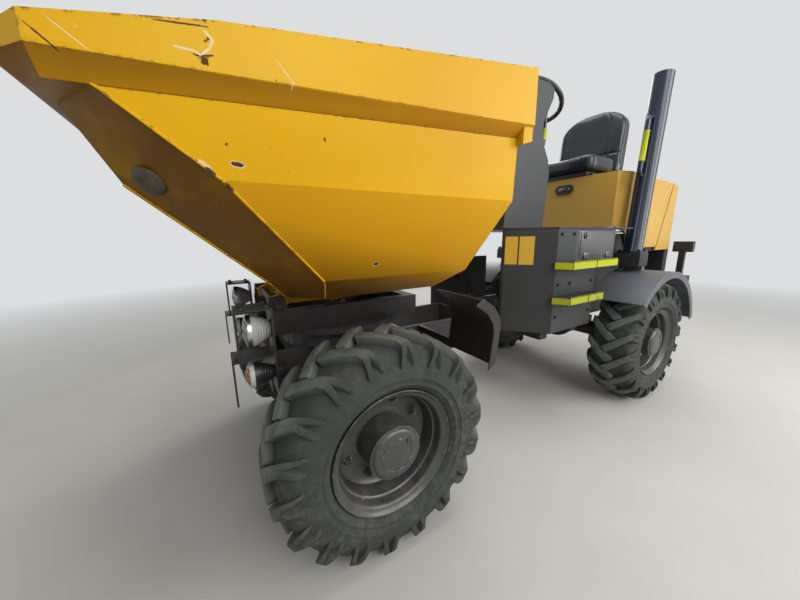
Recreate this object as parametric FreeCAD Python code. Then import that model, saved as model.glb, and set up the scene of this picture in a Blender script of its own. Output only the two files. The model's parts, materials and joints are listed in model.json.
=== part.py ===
import FreeCAD, Part
import math
import os

# Site dumper with an articulated chassis and a skip on a turntable.
# Millimetres. +X is the way the skip faces, +Y the driver's left, +Z up.
# Places are measured from the ground below the chassis pivot. The finished
# pieces are moved so that the origin is on the ground at mid length.
# Each height is stacked on the one below it, so a larger tyre lifts the machine.

V = FreeCAD.Vector

# Clearances
running_gap = 0.05
seat_gap = 0.3
past = 5.0
far = 600.0

# Wheels
tyre_radius = 392.0
tyre_width = 264.0
lug_count = 18
lug_height = 30.0
lug_drop = 6.5
bead_radius = 194.0
rim_flange_radius = 215.5
rim_width = 228.0
rim_wall = 8.0
rim_disc_setback = 30.0
nut_count = 8
nut_circle = 138.0
nut_radius = 15.0
nut_height = 22.0
hub_radius = 90.0
hub_reach = 118.0
hub_depth = 150.0
hub_bevel = 14.0
spindle_radius = 40.0
spindle_length = 70.0

# Axles
track_half = 552.0
front_axle_x = 960.0
rear_axle_x = -973.0
axle_tube_radius = 52.0
axle_bulge_radius = 125.0
axle_pad_height = 78.0
axle_pad_half = 45.0
axle_hub_radius = 95.0
axle_hub_length = 60.0

# Chassis
rail_inside = 165.0
rail_wall = 20.0
rail_outside = rail_inside + rail_wall
rail_bottom = tyre_radius + axle_pad_height
rail_depth = 170.0
rail_top = rail_bottom + rail_depth
rear_frame_end = -1620.0
rear_frame_nose = -90.0
front_frame_tail = 120.0
front_frame_end = 1235.0
cross_wall = 20.0
pivot_pin_radius = 30.0
pivot_cap = 12.0
pivot_barrel_radius = 60.0
pivot_barrel_bottom = rail_bottom - 45.0
pivot_barrel_top = rail_top + 5.0
pivot_ear_half = 75.0
pivot_ear_thickness = 30.0
neck_half = 58.0
neck_margin = 15.0
outrigger_half = 470.0
outrigger_height = 40.0
outrigger_depth = 60.0
sill_inside = 388.0
sill_wall = 10.0

# Body round the driver's floor
body_half = 512.0
body_nose_x = 100.0
body_nose_half = 315.0
body_corner_x = -60.0
tank_inside = 300.0
tank_bottom = rail_bottom + 100.0
deck_top = rail_bottom + 650.0
deck_thickness = 10.0
deck_bottom = deck_top - deck_thickness
deck_tail = -822.0
tank_shoulder = deck_top - 190.0
tank_tail_low = -435.0
tank_tail_high = -225.0

# Steps
step_reach = 80.0
step_thickness = 38.0
step_sheet = 4.0
step_upper_top = deck_top - 172.0
step_lower_top = deck_top - 348.0
step_upper_tail = -500.0
step_lower_tail = -385.0
step_hole_radius = 11.0
step_hole_pitch = 48.0

# Battery box
battery_front = tank_tail_high - 10.0
battery_rear = -640.0
battery_bottom = deck_top - 175.0
battery_inside = 250.0
battery_outside = body_half - 12.0
door_margin = 18.0
door_sheet = 5.0
door_pull_radius = 12.0

# Pedals
pedal_front = -318.0
pedal_length = 95.0
pedal_half = 38.0
pedal_y = 105.0
pedal_lift = 70.0
pedal_sheet = 8.0

# Console and steering
console_half = 250.0
console_front = 35.0
cheek_thickness = 34.0
cheek_inset = 24.0
wheel_centre_x = -455.0
wheel_centre_z = deck_top + 795.0
wheel_ring_radius = 180.0
wheel_ring_thickness = 14.0
wheel_hub_radius = 40.0
wheel_hub_half = 20.0
wheel_spoke_radius = 9.0
wheel_tilt = 28.0
column_radius = 28.0
column_length = 330.0
lever_y = 150.0
lever_radius = 7.0
lever_knob_radius = 17.0
lever_height = 120.0

# Bonnet
bonnet_front = -845.0
bonnet_half = 420.0
bonnet_face_half = 380.0
bonnet_chamfer_run = 95.0
bonnet_bottom = deck_top + 12.0
bonnet_wall = 14.0
bonnet_skirt_bottom = deck_top - 135.0
bonnet_skirt_front = -1010.0
bonnet_chamfer_bottom = deck_top - 26.0
bonnet_top_front = deck_top + 355.0
bonnet_top_rear = deck_top + 322.0
seam_top_x = -1592.0
seam_bottom_x = -1490.0
seam_gap = 15.0
cowl_rear = -1690.0
cowl_bottom = deck_top - 160.0
knuckle_radius = 12.0
knuckle_pin_radius = 6.0
knuckle_length = 40.0
knuckle_y = 300.0
bonnet_hinge_x = seam_top_x - seam_gap / 2
bonnet_hinge_z = bonnet_top_rear + knuckle_radius + 5.0
latch_radius = 30.0
latch_span = 72.0
latch_y = 38.0

# Radiator grille at the tail
grille_half = 300.0
grille_bottom = cowl_bottom + 110.0
grille_height = 330.0
grille_slats = 11
grille_slat = 7.0
grille_depth = 18.0

# Seat
seat_half = 235.0
seat_front = -800.0
seat_base_gap = 30.0
seat_cushion_bottom = bonnet_top_front + seat_base_gap
seat_cushion_height = 110.0
seat_back_front = -1130.0
seat_back_rear = -1270.0
seat_back_height = 465.0
seat_corner = 105.0
seat_round = 22.0

# Mudguards
mudguard_radius = tyre_radius + 60.0
mudguard_wall = 8.0
mudguard_inside = 405.0
mudguard_outside = 700.0
mudguard_lip = 32.0
front_guard_inside = 430.0
front_guard_outside = 690.0

# Roll bar posts
rops_beam_clearance = 36.0
rops_beam_bottom = tyre_radius + mudguard_radius + rops_beam_clearance
rops_beam_height = 80.0
rops_beam_half = 560.0
rops_beam_front = -845.0
rops_beam_rear = -958.0
post_radius = 51.0
post_y = 492.0
post_foot_x = -902.0
post_foot_z = rops_beam_bottom + rops_beam_height
post_top_x = -988.0
post_height = 1038.0
post_flange = 14.0
handle_radius = 12.0
handle_reach = 92.0
handle_low = 460.0
handle_high = 800.0

# Tow jaw and tie-down eyes
bumper_depth = 60.0
bumper_half = 560.0
bumper_height = 120.0
jaw_plate = 16.0
jaw_height = 76.0
jaw_half = 50.0
jaw_bore_radius = 12.5
jaw_end_x = cowl_rear - 100.0
jaw_bore_x = cowl_rear - 80.0
eye_bore_radius = 16.0
eye_radius = 32.0
eye_y = 120.0
eye_reach = 32.0
eye_thickness = 16.0
eye_z = rail_bottom + 50.0

# Engine
engine_front = -1010.0
engine_rear = -1470.0
engine_half = 185.0
engine_height = 420.0

# Turntable
slew_x = 915.0
pedestal_radius = 270.0
pedestal_bore = 215.0
pedestal_plate = 15.0
ring_top = rail_top + 60.0
table_radius = 300.0
table_thickness = 22.0
table_bore = 205.0
table_skirt = 30.0
table_beam_inside = 200.0
table_beam_width = 38.0
table_beam_top = ring_top + 112.0
table_beam_rear = 600.0
table_beam_front = 1250.0

# Skip
skip_wall = 8.0
skip_floor_z = ring_top + 175.0
skip_rear_height = 728.0
skip_rim_rear_z = skip_floor_z + skip_rear_height
skip_front_height = 515.0
skip_rim_front_z = skip_floor_z + skip_front_height
skip_half = 700.0
skip_rear_x = 434.0
skip_lip_x = 1652.0
skip_lip_half = 640.0
skip_lip_corner_x = 1590.0
rim_bend_x = 1335.0
rim_bend_height = 588.0
rim_bend_z = skip_floor_z + rim_bend_height
band_rear_z = skip_rim_rear_z - 168.0
band_bend_z = rim_bend_z - 84.0
band_front_z = skip_rim_front_z - 32.0
band_fold_drop = 34.0
band_fold_inset = 34.0
rib_width = 46.0
rib_proud = 16.0
hinge_x = 1215.0
hinge_z = skip_floor_z - 37.0
hinge_pin_radius = 16.0
runner_y = 165.0
runner_rear_x = 640.0
runner_front_x = 1180.0
runner_half = 20.0

# Front lamps
lamp_y = 348.0
lamp_box_half = 57.0
lamp_sheet = 6.0
lamp_top_z = skip_floor_z - 10.0
lamp_tray_z = rail_top + 68.0
lamp_low_z = rail_bottom + 90.0
lamp_upper_reach = 110.0
lamp_lower_reach = 130.0
headlamp_radius = 56.0
indicator_radius = 44.0
guard_web = 10.0
guard_rows = 4

# Tip cylinder
tip_foot_x = 800.0
tip_foot_z = rail_bottom + 90.0
tip_eye_x = 930.0
tip_eye_z = skip_floor_z - 53.0
tip_barrel_radius = 38.0
tip_rod_radius = 20.0
tip_barrel_length = 246.0
tip_rod_tail = 36.0
tip_pin_radius = 14.0
tip_eye_radius = 26.0
tip_lug_y = 55.0
tip_lug_half = 9.0

# Steering cylinder
steer_foot_x = -420.0
steer_foot_y = 100.0
steer_eye_x = 70.0
steer_eye_y = 125.0
steer_z = rail_bottom + 85.0
steer_barrel_radius = 24.0
steer_rod_radius = 12.0
steer_barrel_length = 235.0
steer_rod_tail = 95.0
steer_pin_radius = 10.0
steer_eye_radius = 20.0

# Hydraulic hoses
hose_radius = 11.0
hose_bend = 60.0


def box(x0, x1, y0, y1, z0, z1):
    return Part.makeBox(x1 - x0, y1 - y0, z1 - z0, V(x0, y0, z0))


def cylinder(start, end, radius):
    axis = end.sub(start)
    return Part.makeCylinder(radius, axis.Length, start, axis)


def prism_xz(points, y0, y1):
    corners = [V(x, y0, z) for x, z in points]
    wire = Part.makePolygon(corners + [corners[0]])
    return Part.Face(wire).extrude(V(0, y1 - y0, 0))


def prism_xy(points, z0, z1):
    corners = [V(x, y, z0) for x, y in points]
    wire = Part.makePolygon(corners + [corners[0]])
    return Part.Face(wire).extrude(V(0, 0, z1 - z0))


def prism_yz(points, x0, x1):
    corners = [V(x0, y, z) for y, z in points]
    wire = Part.makePolygon(corners + [corners[0]])
    return Part.Face(wire).extrude(V(x1 - x0, 0, 0))


def mirrored(shape):
    return shape.mirror(V(0, 0, 0), V(0, 1, 0))


def fused(shapes):
    result = shapes[0].fuse(shapes[1:])
    return result.removeSplitter()


def pair(shape):
    return Part.makeCompound([shape, mirrored(shape)])


def both_sides(shape):
    return [shape, mirrored(shape)]


def bent_tube(points, radius, bend):
    # A round tube along straight runs joined by arcs.
    edges = []
    start = points[0]
    for before, corner, after in zip(points, points[1:], points[2:]):
        back = before.sub(corner)
        back.normalize()
        ahead = after.sub(corner)
        ahead.normalize()
        half = back.getAngle(ahead) / 2
        run = bend / math.tan(half)
        bisector = back.add(ahead)
        bisector.normalize()
        arc_start = corner.add(back * run)
        arc_end = corner.add(ahead * run)
        arc_middle = corner.add(bisector * (bend / math.sin(half) - bend))
        edges.append(Part.makeLine(start, arc_start))
        edges.append(Part.Arc(arc_start, arc_middle, arc_end).toShape())
        start = arc_end
    edges.append(Part.makeLine(start, points[-1]))
    circle = Part.Wire(Part.makeCircle(radius, points[0], points[1].sub(points[0])))
    return Part.Wire(edges).makePipeShell([circle], True, False)


def revolved(points, centre_x, centre_y, side):
    # Points are (offset outward from the wheel's centre plane, radius).
    corners = [V(centre_x, centre_y + side * out, tyre_radius + radius) for out, radius in points]
    wire = Part.makePolygon(corners + [corners[0]])
    return Part.Face(wire).revolve(V(centre_x, 0, tyre_radius), V(0, 1, 0), 360)


# One lug's outline on the tread. Columns: distance along the tread, distance out from its middle.
lug_outline = [(-66.0, -8.0), (-34.0, -8.0), (46.0, 140.0), (-10.0, 140.0)]
# Half of the tread's section. Columns: distance out from its middle, depth below the tread's crown.
tread_line = [(0.0, 0.0), (112.0, 12.0), (130.0, 52.0)]


def tyre_lug():
    half = tyre_width / 2
    top = tyre_radius - lug_drop
    foot = tyre_radius - lug_height - tread_line[-1][1]
    plan = prism_xy([(-along, out) for along, out in lug_outline], foot, tyre_radius + past)
    crown = [(-20, foot), (-20, top), (half - 30, top), (half, top - 40), (half - 6, foot)]
    return plan.common(prism_yz(crown, -100, 100))


def tread_band():
    # The tread between the lugs is flat facets, one to each pitch.
    crown = tyre_radius - lug_height
    sides = lug_count
    line = [(-out, crown - depth) for out, depth in tread_line[:0:-1]] + [(out, crown - depth) for out, depth in tread_line]
    rings = []
    for y, radius in line:
        turns = [2 * math.pi * (index + 0.5) / sides for index in range(sides)]
        rings.append([V(radius * math.cos(turn), y, radius * math.sin(turn)) for turn in turns])
    faces = [Part.Face(Part.makePolygon(ring + [ring[0]])) for ring in (rings[0], rings[-1])]
    for near, ahead in zip(rings, rings[1:]):
        for index in range(sides):
            after = (index + 1) % sides
            corners = [near[index], near[after], ahead[after], ahead[index]]
            faces.append(Part.Face(Part.makePolygon(corners + [corners[0]])))
    solid = Part.makeSolid(Part.makeShell(faces))
    return solid.cut(cylinder(V(0, -tyre_width, 0), V(0, tyre_width, 0), rim_flange_radius + 10))


def tyre(axle_x, side):
    half = tyre_width / 2
    bead = rim_width / 2 - rim_wall
    shoulder = tyre_radius - lug_height - tread_line[-1][1]
    profile = [
        (-bead, bead_radius),
        (-bead, rim_flange_radius + 1),
        (-half, shoulder - 30),
        (-half + 14, shoulder - 5),
        (half - 14, shoulder - 5),
        (half, shoulder - 30),
        (bead, rim_flange_radius + 1),
        (bead, bead_radius),
    ]
    casing = revolved(profile, 0, 0, 1)
    casing.translate(V(0, 0, -tyre_radius))
    outer_lug = tyre_lug()
    inner_lug = mirrored(outer_lug)
    pitch = 360.0 / lug_count
    lugs = []
    for index in range(lug_count):
        for lug, turn in ((outer_lug, index * pitch), (inner_lug, (index + 0.5) * pitch)):
            placed = lug.copy()
            placed.rotate(V(0, 0, 0), V(0, 1, 0), turn)
            lugs.append(placed)
    whole = tread_band().fuse(lugs + [casing])
    if side < 0:
        whole = mirrored(whole)
    whole.translate(V(axle_x, side * track_half, tyre_radius))
    return whole


def rim(axle_x, side):
    bead = rim_width / 2 - rim_wall
    edge = rim_width / 2
    inner = bead_radius - rim_wall
    disc = rim_disc_setback
    back = hub_reach - hub_depth
    profile = [
        (-edge, rim_flange_radius),
        (-bead, rim_flange_radius),
        (-bead, bead_radius),
        (bead, bead_radius),
        (bead, rim_flange_radius),
        (edge, rim_flange_radius),
        (edge, bead_radius - 4),
        (bead - 14, inner),
        (disc + 12, inner),
        (disc, hub_radius),
        (hub_reach - hub_bevel, hub_radius - 2),
        (hub_reach, hub_radius - hub_bevel),
        (hub_reach, 0),
        (back + spindle_length, 0),
        (back + spindle_length, spindle_radius + running_gap),
        (back, spindle_radius + running_gap),
        (back, hub_radius),
        (disc - 12, hub_radius),
        (disc, inner),
        (-bead + 14, inner),
        (-edge, bead_radius - 4),
    ]
    shapes = [revolved(profile, axle_x, side * track_half, side)]
    nut_foot = side * (track_half + disc)
    nut_face = nut_foot + side * nut_height
    for index in range(nut_count):
        turn = math.radians(index * 360.0 / nut_count)
        x = axle_x + nut_circle * math.cos(turn)
        z = tyre_radius + nut_circle * math.sin(turn)
        flats = [turn + math.radians(60 * corner) for corner in range(6)]
        points = [(x + nut_radius * math.cos(a), z + nut_radius * math.sin(a)) for a in flats]
        shapes.append(prism_xz(points, nut_foot, nut_face))
    return fused(shapes)


def axle(axle_x):
    hub_back = track_half + hub_reach - hub_depth
    tube_end = hub_back - axle_hub_length / 2
    shapes = [cylinder(V(axle_x, -tube_end, tyre_radius), V(axle_x, tube_end, tyre_radius), axle_tube_radius)]
    shapes.append(Part.makeSphere(axle_bulge_radius, V(axle_x, 0, tyre_radius)))
    for side in (-1, 1):
        start = V(axle_x, side * (hub_back - seat_gap), tyre_radius)
        flange = V(axle_x, side * (hub_back - axle_hub_length), tyre_radius)
        tip = V(axle_x, side * (hub_back + spindle_length - past), tyre_radius)
        shapes.append(cylinder(flange, start, axle_hub_radius))
        shapes.append(cylinder(start, tip, spindle_radius))
        pad_y = side * (rail_inside + rail_wall / 2)
        shapes.append(box(axle_x - axle_pad_half * 2, axle_x + axle_pad_half * 2,
                          pad_y - axle_pad_half, pad_y + axle_pad_half, tyre_radius, rail_bottom))
    return fused(shapes)


def rail_pair(x0, x1):
    return both_sides(box(x0, x1, rail_inside, rail_outside, rail_bottom, rail_top))


def cross_plate(x0):
    return box(x0, x0 + cross_wall, -rail_outside, rail_outside, rail_bottom, rail_top)


def rear_frame():
    shapes = rail_pair(rear_frame_end, rear_frame_nose)
    shapes.append(cross_plate(rear_frame_nose - cross_wall))
    shapes.append(cross_plate(rear_frame_end))
    shapes.append(box(rear_frame_nose - cross_wall, -pivot_barrel_radius / 2, -neck_half, neck_half,
                      rail_bottom + neck_margin, rail_top - neck_margin))
    shapes.append(cylinder(V(0, 0, pivot_barrel_bottom), V(0, 0, pivot_barrel_top), pivot_barrel_radius))
    for x in (tank_tail_low + outrigger_depth, body_corner_x - 40):
        shapes += both_sides(box(x, x + outrigger_depth, rail_inside, outrigger_half,
                                 tank_bottom - outrigger_height, tank_bottom))
    riser_y = rail_inside + rail_wall / 2
    shapes += both_sides(box(rops_beam_rear + 20, rops_beam_front - 20, riser_y - 30, riser_y + 30,
                             rail_top - 10, rops_beam_bottom))
    shapes.append(box(rops_beam_rear, rops_beam_front, -rops_beam_half, rops_beam_half,
                      rops_beam_bottom, post_foot_z))
    shapes += both_sides(box(seam_bottom_x, deck_tail - seat_gap, sill_inside, sill_inside + sill_wall,
                             post_foot_z - past, bonnet_chamfer_bottom - bonnet_wall))
    plate_z = steer_z + steer_barrel_radius + 3
    shapes.append(box(steer_foot_x - 30, steer_foot_x + 22, rail_inside - 100, rail_inside, plate_z, plate_z + 15))
    shapes.append(cylinder(V(steer_foot_x, steer_foot_y, steer_z - steer_barrel_radius),
                           V(steer_foot_x, steer_foot_y, plate_z + 15), steer_pin_radius))
    frame = fused(shapes)
    bore = cylinder(V(0, 0, 0), V(0, 0, deck_top), pivot_pin_radius + running_gap)
    rod_window = box(rear_frame_nose - cross_wall - past, rear_frame_nose + past, neck_half + 4, rail_inside - 5,
                     steer_z - 28, steer_z + 28)
    return frame.cut(bore).cut(rod_window)


def front_frame():
    shapes = rail_pair(front_frame_tail, front_frame_end)
    shapes.append(cross_plate(front_frame_tail))
    shapes.append(cross_plate(front_frame_end))
    low = pivot_barrel_bottom - seat_gap
    high = pivot_barrel_top + seat_gap
    ear_low = low - pivot_ear_thickness
    ear_high = high + pivot_ear_thickness
    for z0, z1 in ((ear_low, low), (high, ear_high)):
        shapes.append(box(0, front_frame_tail + cross_wall, -pivot_ear_half, pivot_ear_half, z0, z1))
        shapes.append(cylinder(V(0, 0, z0), V(0, 0, z1), pivot_ear_half))
    shapes.append(box(front_frame_tail, front_frame_tail + cross_wall, -pivot_ear_half, pivot_ear_half,
                      ear_low, ear_high))
    shapes.append(cylinder(V(0, 0, ear_low - pivot_cap), V(0, 0, ear_high + pivot_cap), pivot_pin_radius))
    for z0 in (steer_z + 17, steer_z - 29):
        shapes.append(box(steer_eye_x - 22, front_frame_tail + past, steer_eye_y - 24, steer_eye_y + 24, z0, z0 + 12))
    eye_x = front_frame_end + cross_wall + eye_reach
    z0 = eye_z - eye_thickness / 2
    for side in (-1, 1):
        y = side * eye_y
        shapes.append(box(front_frame_end + past, eye_x, y - eye_radius, y + eye_radius, z0, z0 + eye_thickness))
        shapes.append(cylinder(V(eye_x, y, z0), V(eye_x, y, z0 + eye_thickness), eye_radius))
    frame = fused(shapes)
    for side in (-1, 1):
        y = side * eye_y
        frame = frame.cut(cylinder(V(eye_x, y, z0 - past), V(eye_x, y, z0 + eye_thickness + past), eye_bore_radius))
    return frame


def slew_pedestal():
    plate = box(slew_x - pedestal_radius, slew_x + pedestal_radius, -rail_inside + seat_gap,
                rail_inside - seat_gap, rail_top - pedestal_plate, rail_top)
    ring = cylinder(V(slew_x, 0, rail_top), V(slew_x, 0, ring_top), pedestal_radius)
    bore = cylinder(V(slew_x, 0, rail_top - pedestal_plate - past), V(slew_x, 0, ring_top + past), pedestal_bore)
    return fused([plate, ring]).cut(bore)


def body_plan(reach, tail):
    # Half outline of the body on the left, grown outward by reach.
    return [
        (tail, body_half + reach),
        (body_corner_x + reach * 0.3, body_half + reach),
        (body_nose_x + reach * 0.3, body_nose_half + reach),
    ]


def deck_plate():
    left = body_plan(0, deck_tail)
    right = [(x, -y) for x, y in reversed(left)]
    return prism_xy(left + right, deck_bottom, deck_top)


def side_tank():
    lower = prism_xy(body_plan(0, tank_tail_low) + [(body_nose_x, tank_inside), (tank_tail_low, tank_inside)],
                     tank_bottom, tank_shoulder)
    upper = prism_xy(body_plan(0, tank_tail_high) + [(body_nose_x, tank_inside), (tank_tail_high, tank_inside)],
                     tank_shoulder, deck_bottom)
    return fused([lower, upper])


def step_outline(tail, inset):
    return [
        (tail + inset, body_half),
        (tail + inset, body_half + step_reach - inset),
        (body_corner_x - 10 - inset * 0.4, body_half + step_reach - inset),
        (body_corner_x + 30 - inset * 1.4, body_half + 10 - inset * 0.2),
        (body_corner_x - inset, body_half),
    ]


def steps_one_side():
    shapes = []
    for top, tail in ((step_upper_top, step_upper_tail), (step_lower_top, step_lower_tail)):
        band = prism_xy(step_outline(tail, 0), top - step_thickness, top)
        inside = prism_xy(step_outline(tail, step_sheet), top - step_thickness - past, top - step_sheet)
        tread = band.cut(inside)
        holes = []
        count = int((body_corner_x - 30 - tail) / step_hole_pitch)
        for column in range(count):
            for row in range(2):
                x = tail + 30 + column * step_hole_pitch + row * step_hole_pitch / 2
                y = body_half + step_reach * (0.3 + 0.38 * row)
                holes.append(cylinder(V(x, y, top - step_thickness), V(x, y, top + past), step_hole_radius))
        shapes.append(tread.cut(Part.makeCompound(holes)))
    return shapes


def battery_box():
    case = box(battery_rear, battery_front, battery_inside, battery_outside, battery_bottom, deck_bottom)
    door = box(battery_rear + door_margin, battery_front - door_margin, battery_outside, battery_outside + door_sheet,
               battery_bottom + door_margin / 2, deck_bottom - door_margin / 2)
    pull = V(battery_front - 70, battery_outside, deck_bottom - 35)
    knob = cylinder(pull, pull.add(V(0, door_sheet * 2, 0)), door_pull_radius)
    return fused([case, door, knob])


def pedal():
    tail = pedal_front - pedal_length
    plate = prism_xz([(tail, deck_top), (tail, deck_top + pedal_sheet), (pedal_front, deck_top + pedal_lift),
                      (pedal_front, deck_top + pedal_lift - pedal_sheet), (tail + pedal_sheet * 2, deck_top)],
                     pedal_y - pedal_half, pedal_y + pedal_half)
    stem = box(pedal_front - 40, pedal_front - 25, pedal_y - 8, pedal_y + 8, deck_top, deck_top + pedal_lift - 20)
    return fused([plate, stem])


# Side view of the console's cheeks. Columns: distance behind the console's front, height above the deck.
console_front_edge = [(0.0, 0.0), (40.0, 420.0), (60.0, 730.0), (100.0, 770.0)]
console_rear_edge = [(305.0, 770.0), (355.0, 750.0), (350.0, 700.0), (318.0, 640.0), (282.0, 575.0), (279.0, 520.0),
                     (300.0, 450.0), (345.0, 380.0), (363.0, 310.0), (352.0, 150.0), (341.0, 0.0)]


def console_outline(inset):
    front = console_front_edge[:2] + [(back, height - inset) for back, height in console_front_edge[2:]]
    rear = [(back - inset, height - inset) for back, height in console_rear_edge[:2]]
    rear += [(back - inset, height) for back, height in console_rear_edge[2:]]
    return [(console_front - back, deck_top + height) for back, height in front + rear]


def console():
    middle = prism_xz(console_outline(cheek_inset), past - console_half, console_half - past)
    cheek = prism_xz(console_outline(0), console_half - cheek_thickness, console_half)
    return fused([middle] + both_sides(cheek))


def control_lever():
    foot = V(console_front - 190, -lever_y, deck_top + console_front_edge[-1][1] - cheek_inset + seat_gap)
    top = box(foot.x - 50, foot.x + 50, foot.y - 50, foot.y + 50, foot.z - seat_gap, foot.z + 2 * lever_height)
    knob = foot.add(V(-lever_height * 0.25, 0, lever_height))
    root = foot.sub(V(0, 0, lever_radius))
    return fused([cylinder(root, knob, lever_radius).common(top), Part.makeSphere(lever_knob_radius, knob)])


def wheel_axis():
    tilt = math.radians(wheel_tilt)
    return V(-math.sin(tilt), 0, math.cos(tilt))


def steering_column():
    centre = V(wheel_centre_x, 0, wheel_centre_z)
    axis = wheel_axis()
    end = centre.sub(axis * (wheel_hub_half + seat_gap))
    start = centre.sub(axis * column_length)
    column = cylinder(start, end, column_radius)
    arm = box(start.x - 20, console_front - 200, -30, 30, start.z - 10, start.z + 60)
    return fused([column, arm]).cut(console())


def steering_wheel():
    centre = V(wheel_centre_x, 0, wheel_centre_z)
    axis = wheel_axis()
    ring = Part.makeTorus(wheel_ring_radius, wheel_ring_thickness, centre, axis)
    hub = cylinder(centre.sub(axis * wheel_hub_half), centre.add(axis * wheel_hub_half), wheel_hub_radius)
    across = V(0, 1, 0)
    along = axis.cross(across)
    shapes = [ring, hub]
    for angle in (0, 120, 240):
        turn = math.radians(angle)
        direction = along * math.cos(turn) + across * math.sin(turn)
        shapes.append(cylinder(centre, centre.add(direction * wheel_ring_radius), wheel_spoke_radius))
    return fused(shapes)


def housing_plan(inset):
    # Plan of the bonnet and the cowl behind it, inset by a wall.
    side = bonnet_half - inset
    left = [(cowl_rear + inset, side), (bonnet_front - bonnet_chamfer_run, side),
            (bonnet_front - inset, bonnet_face_half - inset * 0.6)]
    return left + [(x, -y) for x, y in reversed(left)]


def housing_below(drop):
    # Everything under the housing's sloping top.
    low = -past
    return prism_xz([(bonnet_front + past, low), (bonnet_front + past, bonnet_top_front - drop),
                     (cowl_rear - past, bonnet_top_rear - drop), (cowl_rear - past, low)], -far, far)


def seam_x(height, gap):
    # The seam between bonnet and cowl leans back towards its top.
    slope = (seam_top_x - seam_bottom_x) / (bonnet_top_rear - bonnet_bottom)
    return seam_bottom_x + slope * (height - bonnet_bottom) - gap


def behind_seam(gap):
    return prism_xz([(seam_x(0, gap), 0), (seam_x(wheel_centre_z, gap), wheel_centre_z),
                     (cowl_rear - far, wheel_centre_z), (cowl_rear - far, 0)], -far, far)


def knuckle(middle, leaf_end):
    y0 = middle - knuckle_length / 2
    y1 = middle + knuckle_length / 2
    roll = cylinder(V(bonnet_hinge_x, y0, bonnet_hinge_z), V(bonnet_hinge_x, y1, bonnet_hinge_z), knuckle_radius)
    leaf = box(min(bonnet_hinge_x, leaf_end), max(bonnet_hinge_x, leaf_end), y0, y1,
               bonnet_hinge_z - knuckle_radius - 9, bonnet_hinge_z - knuckle_radius + 3)
    return fused([roll, leaf])


def bonnet():
    outer = prism_xy(housing_plan(0), bonnet_skirt_bottom, wheel_centre_z).common(housing_below(0))
    inner = prism_xy(housing_plan(bonnet_wall), bonnet_skirt_bottom - past, wheel_centre_z)
    inner = inner.common(housing_below(bonnet_wall))
    chamfer_end = bonnet_front - bonnet_chamfer_run
    below_front = prism_xz([(bonnet_front + past, bonnet_bottom), (bonnet_front - bonnet_wall, bonnet_bottom),
                            (chamfer_end, bonnet_chamfer_bottom), (bonnet_skirt_front, bonnet_skirt_bottom),
                            (bonnet_skirt_front, bonnet_skirt_bottom - past),
                            (bonnet_front + past, bonnet_skirt_bottom - past)], -far, far)
    shapes = [outer.cut(inner).cut(behind_seam(0)).cut(below_front)]
    shapes += [knuckle(side * knuckle_y, seam_top_x + 45) for side in (-1, 1)]
    bore = cylinder(V(bonnet_hinge_x, -far, bonnet_hinge_z), V(bonnet_hinge_x, far, bonnet_hinge_z),
                    knuckle_pin_radius + running_gap)
    return fused(shapes).cut(bore)


def rear_cowl():
    outer = prism_xy(housing_plan(0), cowl_bottom, wheel_centre_z).common(housing_below(2))
    inner = prism_xy(housing_plan(bonnet_wall), cowl_bottom - past, wheel_centre_z).common(housing_below(bonnet_wall + 2))
    shell = outer.cut(inner).common(behind_seam(seam_gap))
    window = box(cowl_rear - past, cowl_rear + bonnet_wall + past, -grille_half, grille_half,
                 grille_bottom, grille_bottom + grille_height)
    shapes = [shell.cut(window)]
    for side in (-1, 1):
        for end in (-1, 1):
            middle = side * knuckle_y + end * (knuckle_length + 2 * seat_gap)
            shapes.append(knuckle(middle, seam_top_x - seam_gap - 35))
        pin_half = knuckle_length * 1.5
        shapes.append(cylinder(V(bonnet_hinge_x, side * knuckle_y - pin_half, bonnet_hinge_z),
                               V(bonnet_hinge_x, side * knuckle_y + pin_half, bonnet_hinge_z), knuckle_pin_radius))
    return fused(shapes)


def radiator_grille():
    half = grille_half - seat_gap
    z0 = grille_bottom + seat_gap
    z1 = grille_bottom + grille_height - seat_gap
    x0 = cowl_rear
    x1 = cowl_rear + grille_depth
    rim_bar = 16
    frame = box(x0, x1, -half, half, z0, z1)
    frame = frame.cut(box(x0 - past, x1 + past, rim_bar - half, half - rim_bar, z0 + rim_bar, z1 - rim_bar))
    shapes = [frame]
    pitch = (z1 - z0 - 2 * rim_bar) / grille_slats
    for index in range(grille_slats):
        z = z0 + rim_bar + (index + 0.25) * pitch
        shapes.append(prism_xz([(x0, z), (x0, z + grille_slat), (x1, z + grille_slat * 2), (x1, z + grille_slat)],
                               past - half, half - past))
    return fused(shapes)


def bonnet_latch():
    x0 = bonnet_front
    z = bonnet_top_front - latch_radius * 2.4
    ends = [cylinder(V(x0, latch_y + side * latch_span / 2, z), V(x0 + 14, latch_y + side * latch_span / 2, z), latch_radius)
            for side in (-1, 1)]
    bar = box(x0, x0 + 14, latch_y - latch_span / 2, latch_y + latch_span / 2, z - latch_radius, z + latch_radius)
    return fused(ends + [bar])


def seat_base():
    plinth = box(seat_back_front - 60, seat_front - 40, -seat_half + 50, seat_half - 50,
                 bonnet_top_front + seat_gap, seat_cushion_bottom - seat_gap)
    slides = both_sides(box(seat_back_front - 40, seat_front - 60, seat_half - 50, seat_half - 20,
                            bonnet_top_front + seat_gap, bonnet_top_front + seat_base_gap / 2))
    return fused([plinth] + slides)


def seat_cushion():
    pad = box(seat_back_front + past, seat_front, -seat_half, seat_half, seat_cushion_bottom,
              seat_cushion_bottom + seat_cushion_height)
    upright = [e for e in pad.Edges if abs(e.Vertexes[0].X - e.Vertexes[1].X) + abs(e.Vertexes[0].Y - e.Vertexes[1].Y) < 1]
    pad = pad.makeFillet(seat_corner / 2, upright)
    top = max(pad.Faces, key=lambda face: face.CenterOfMass.z)
    return pad.makeFillet(seat_round, top.Edges)


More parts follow.
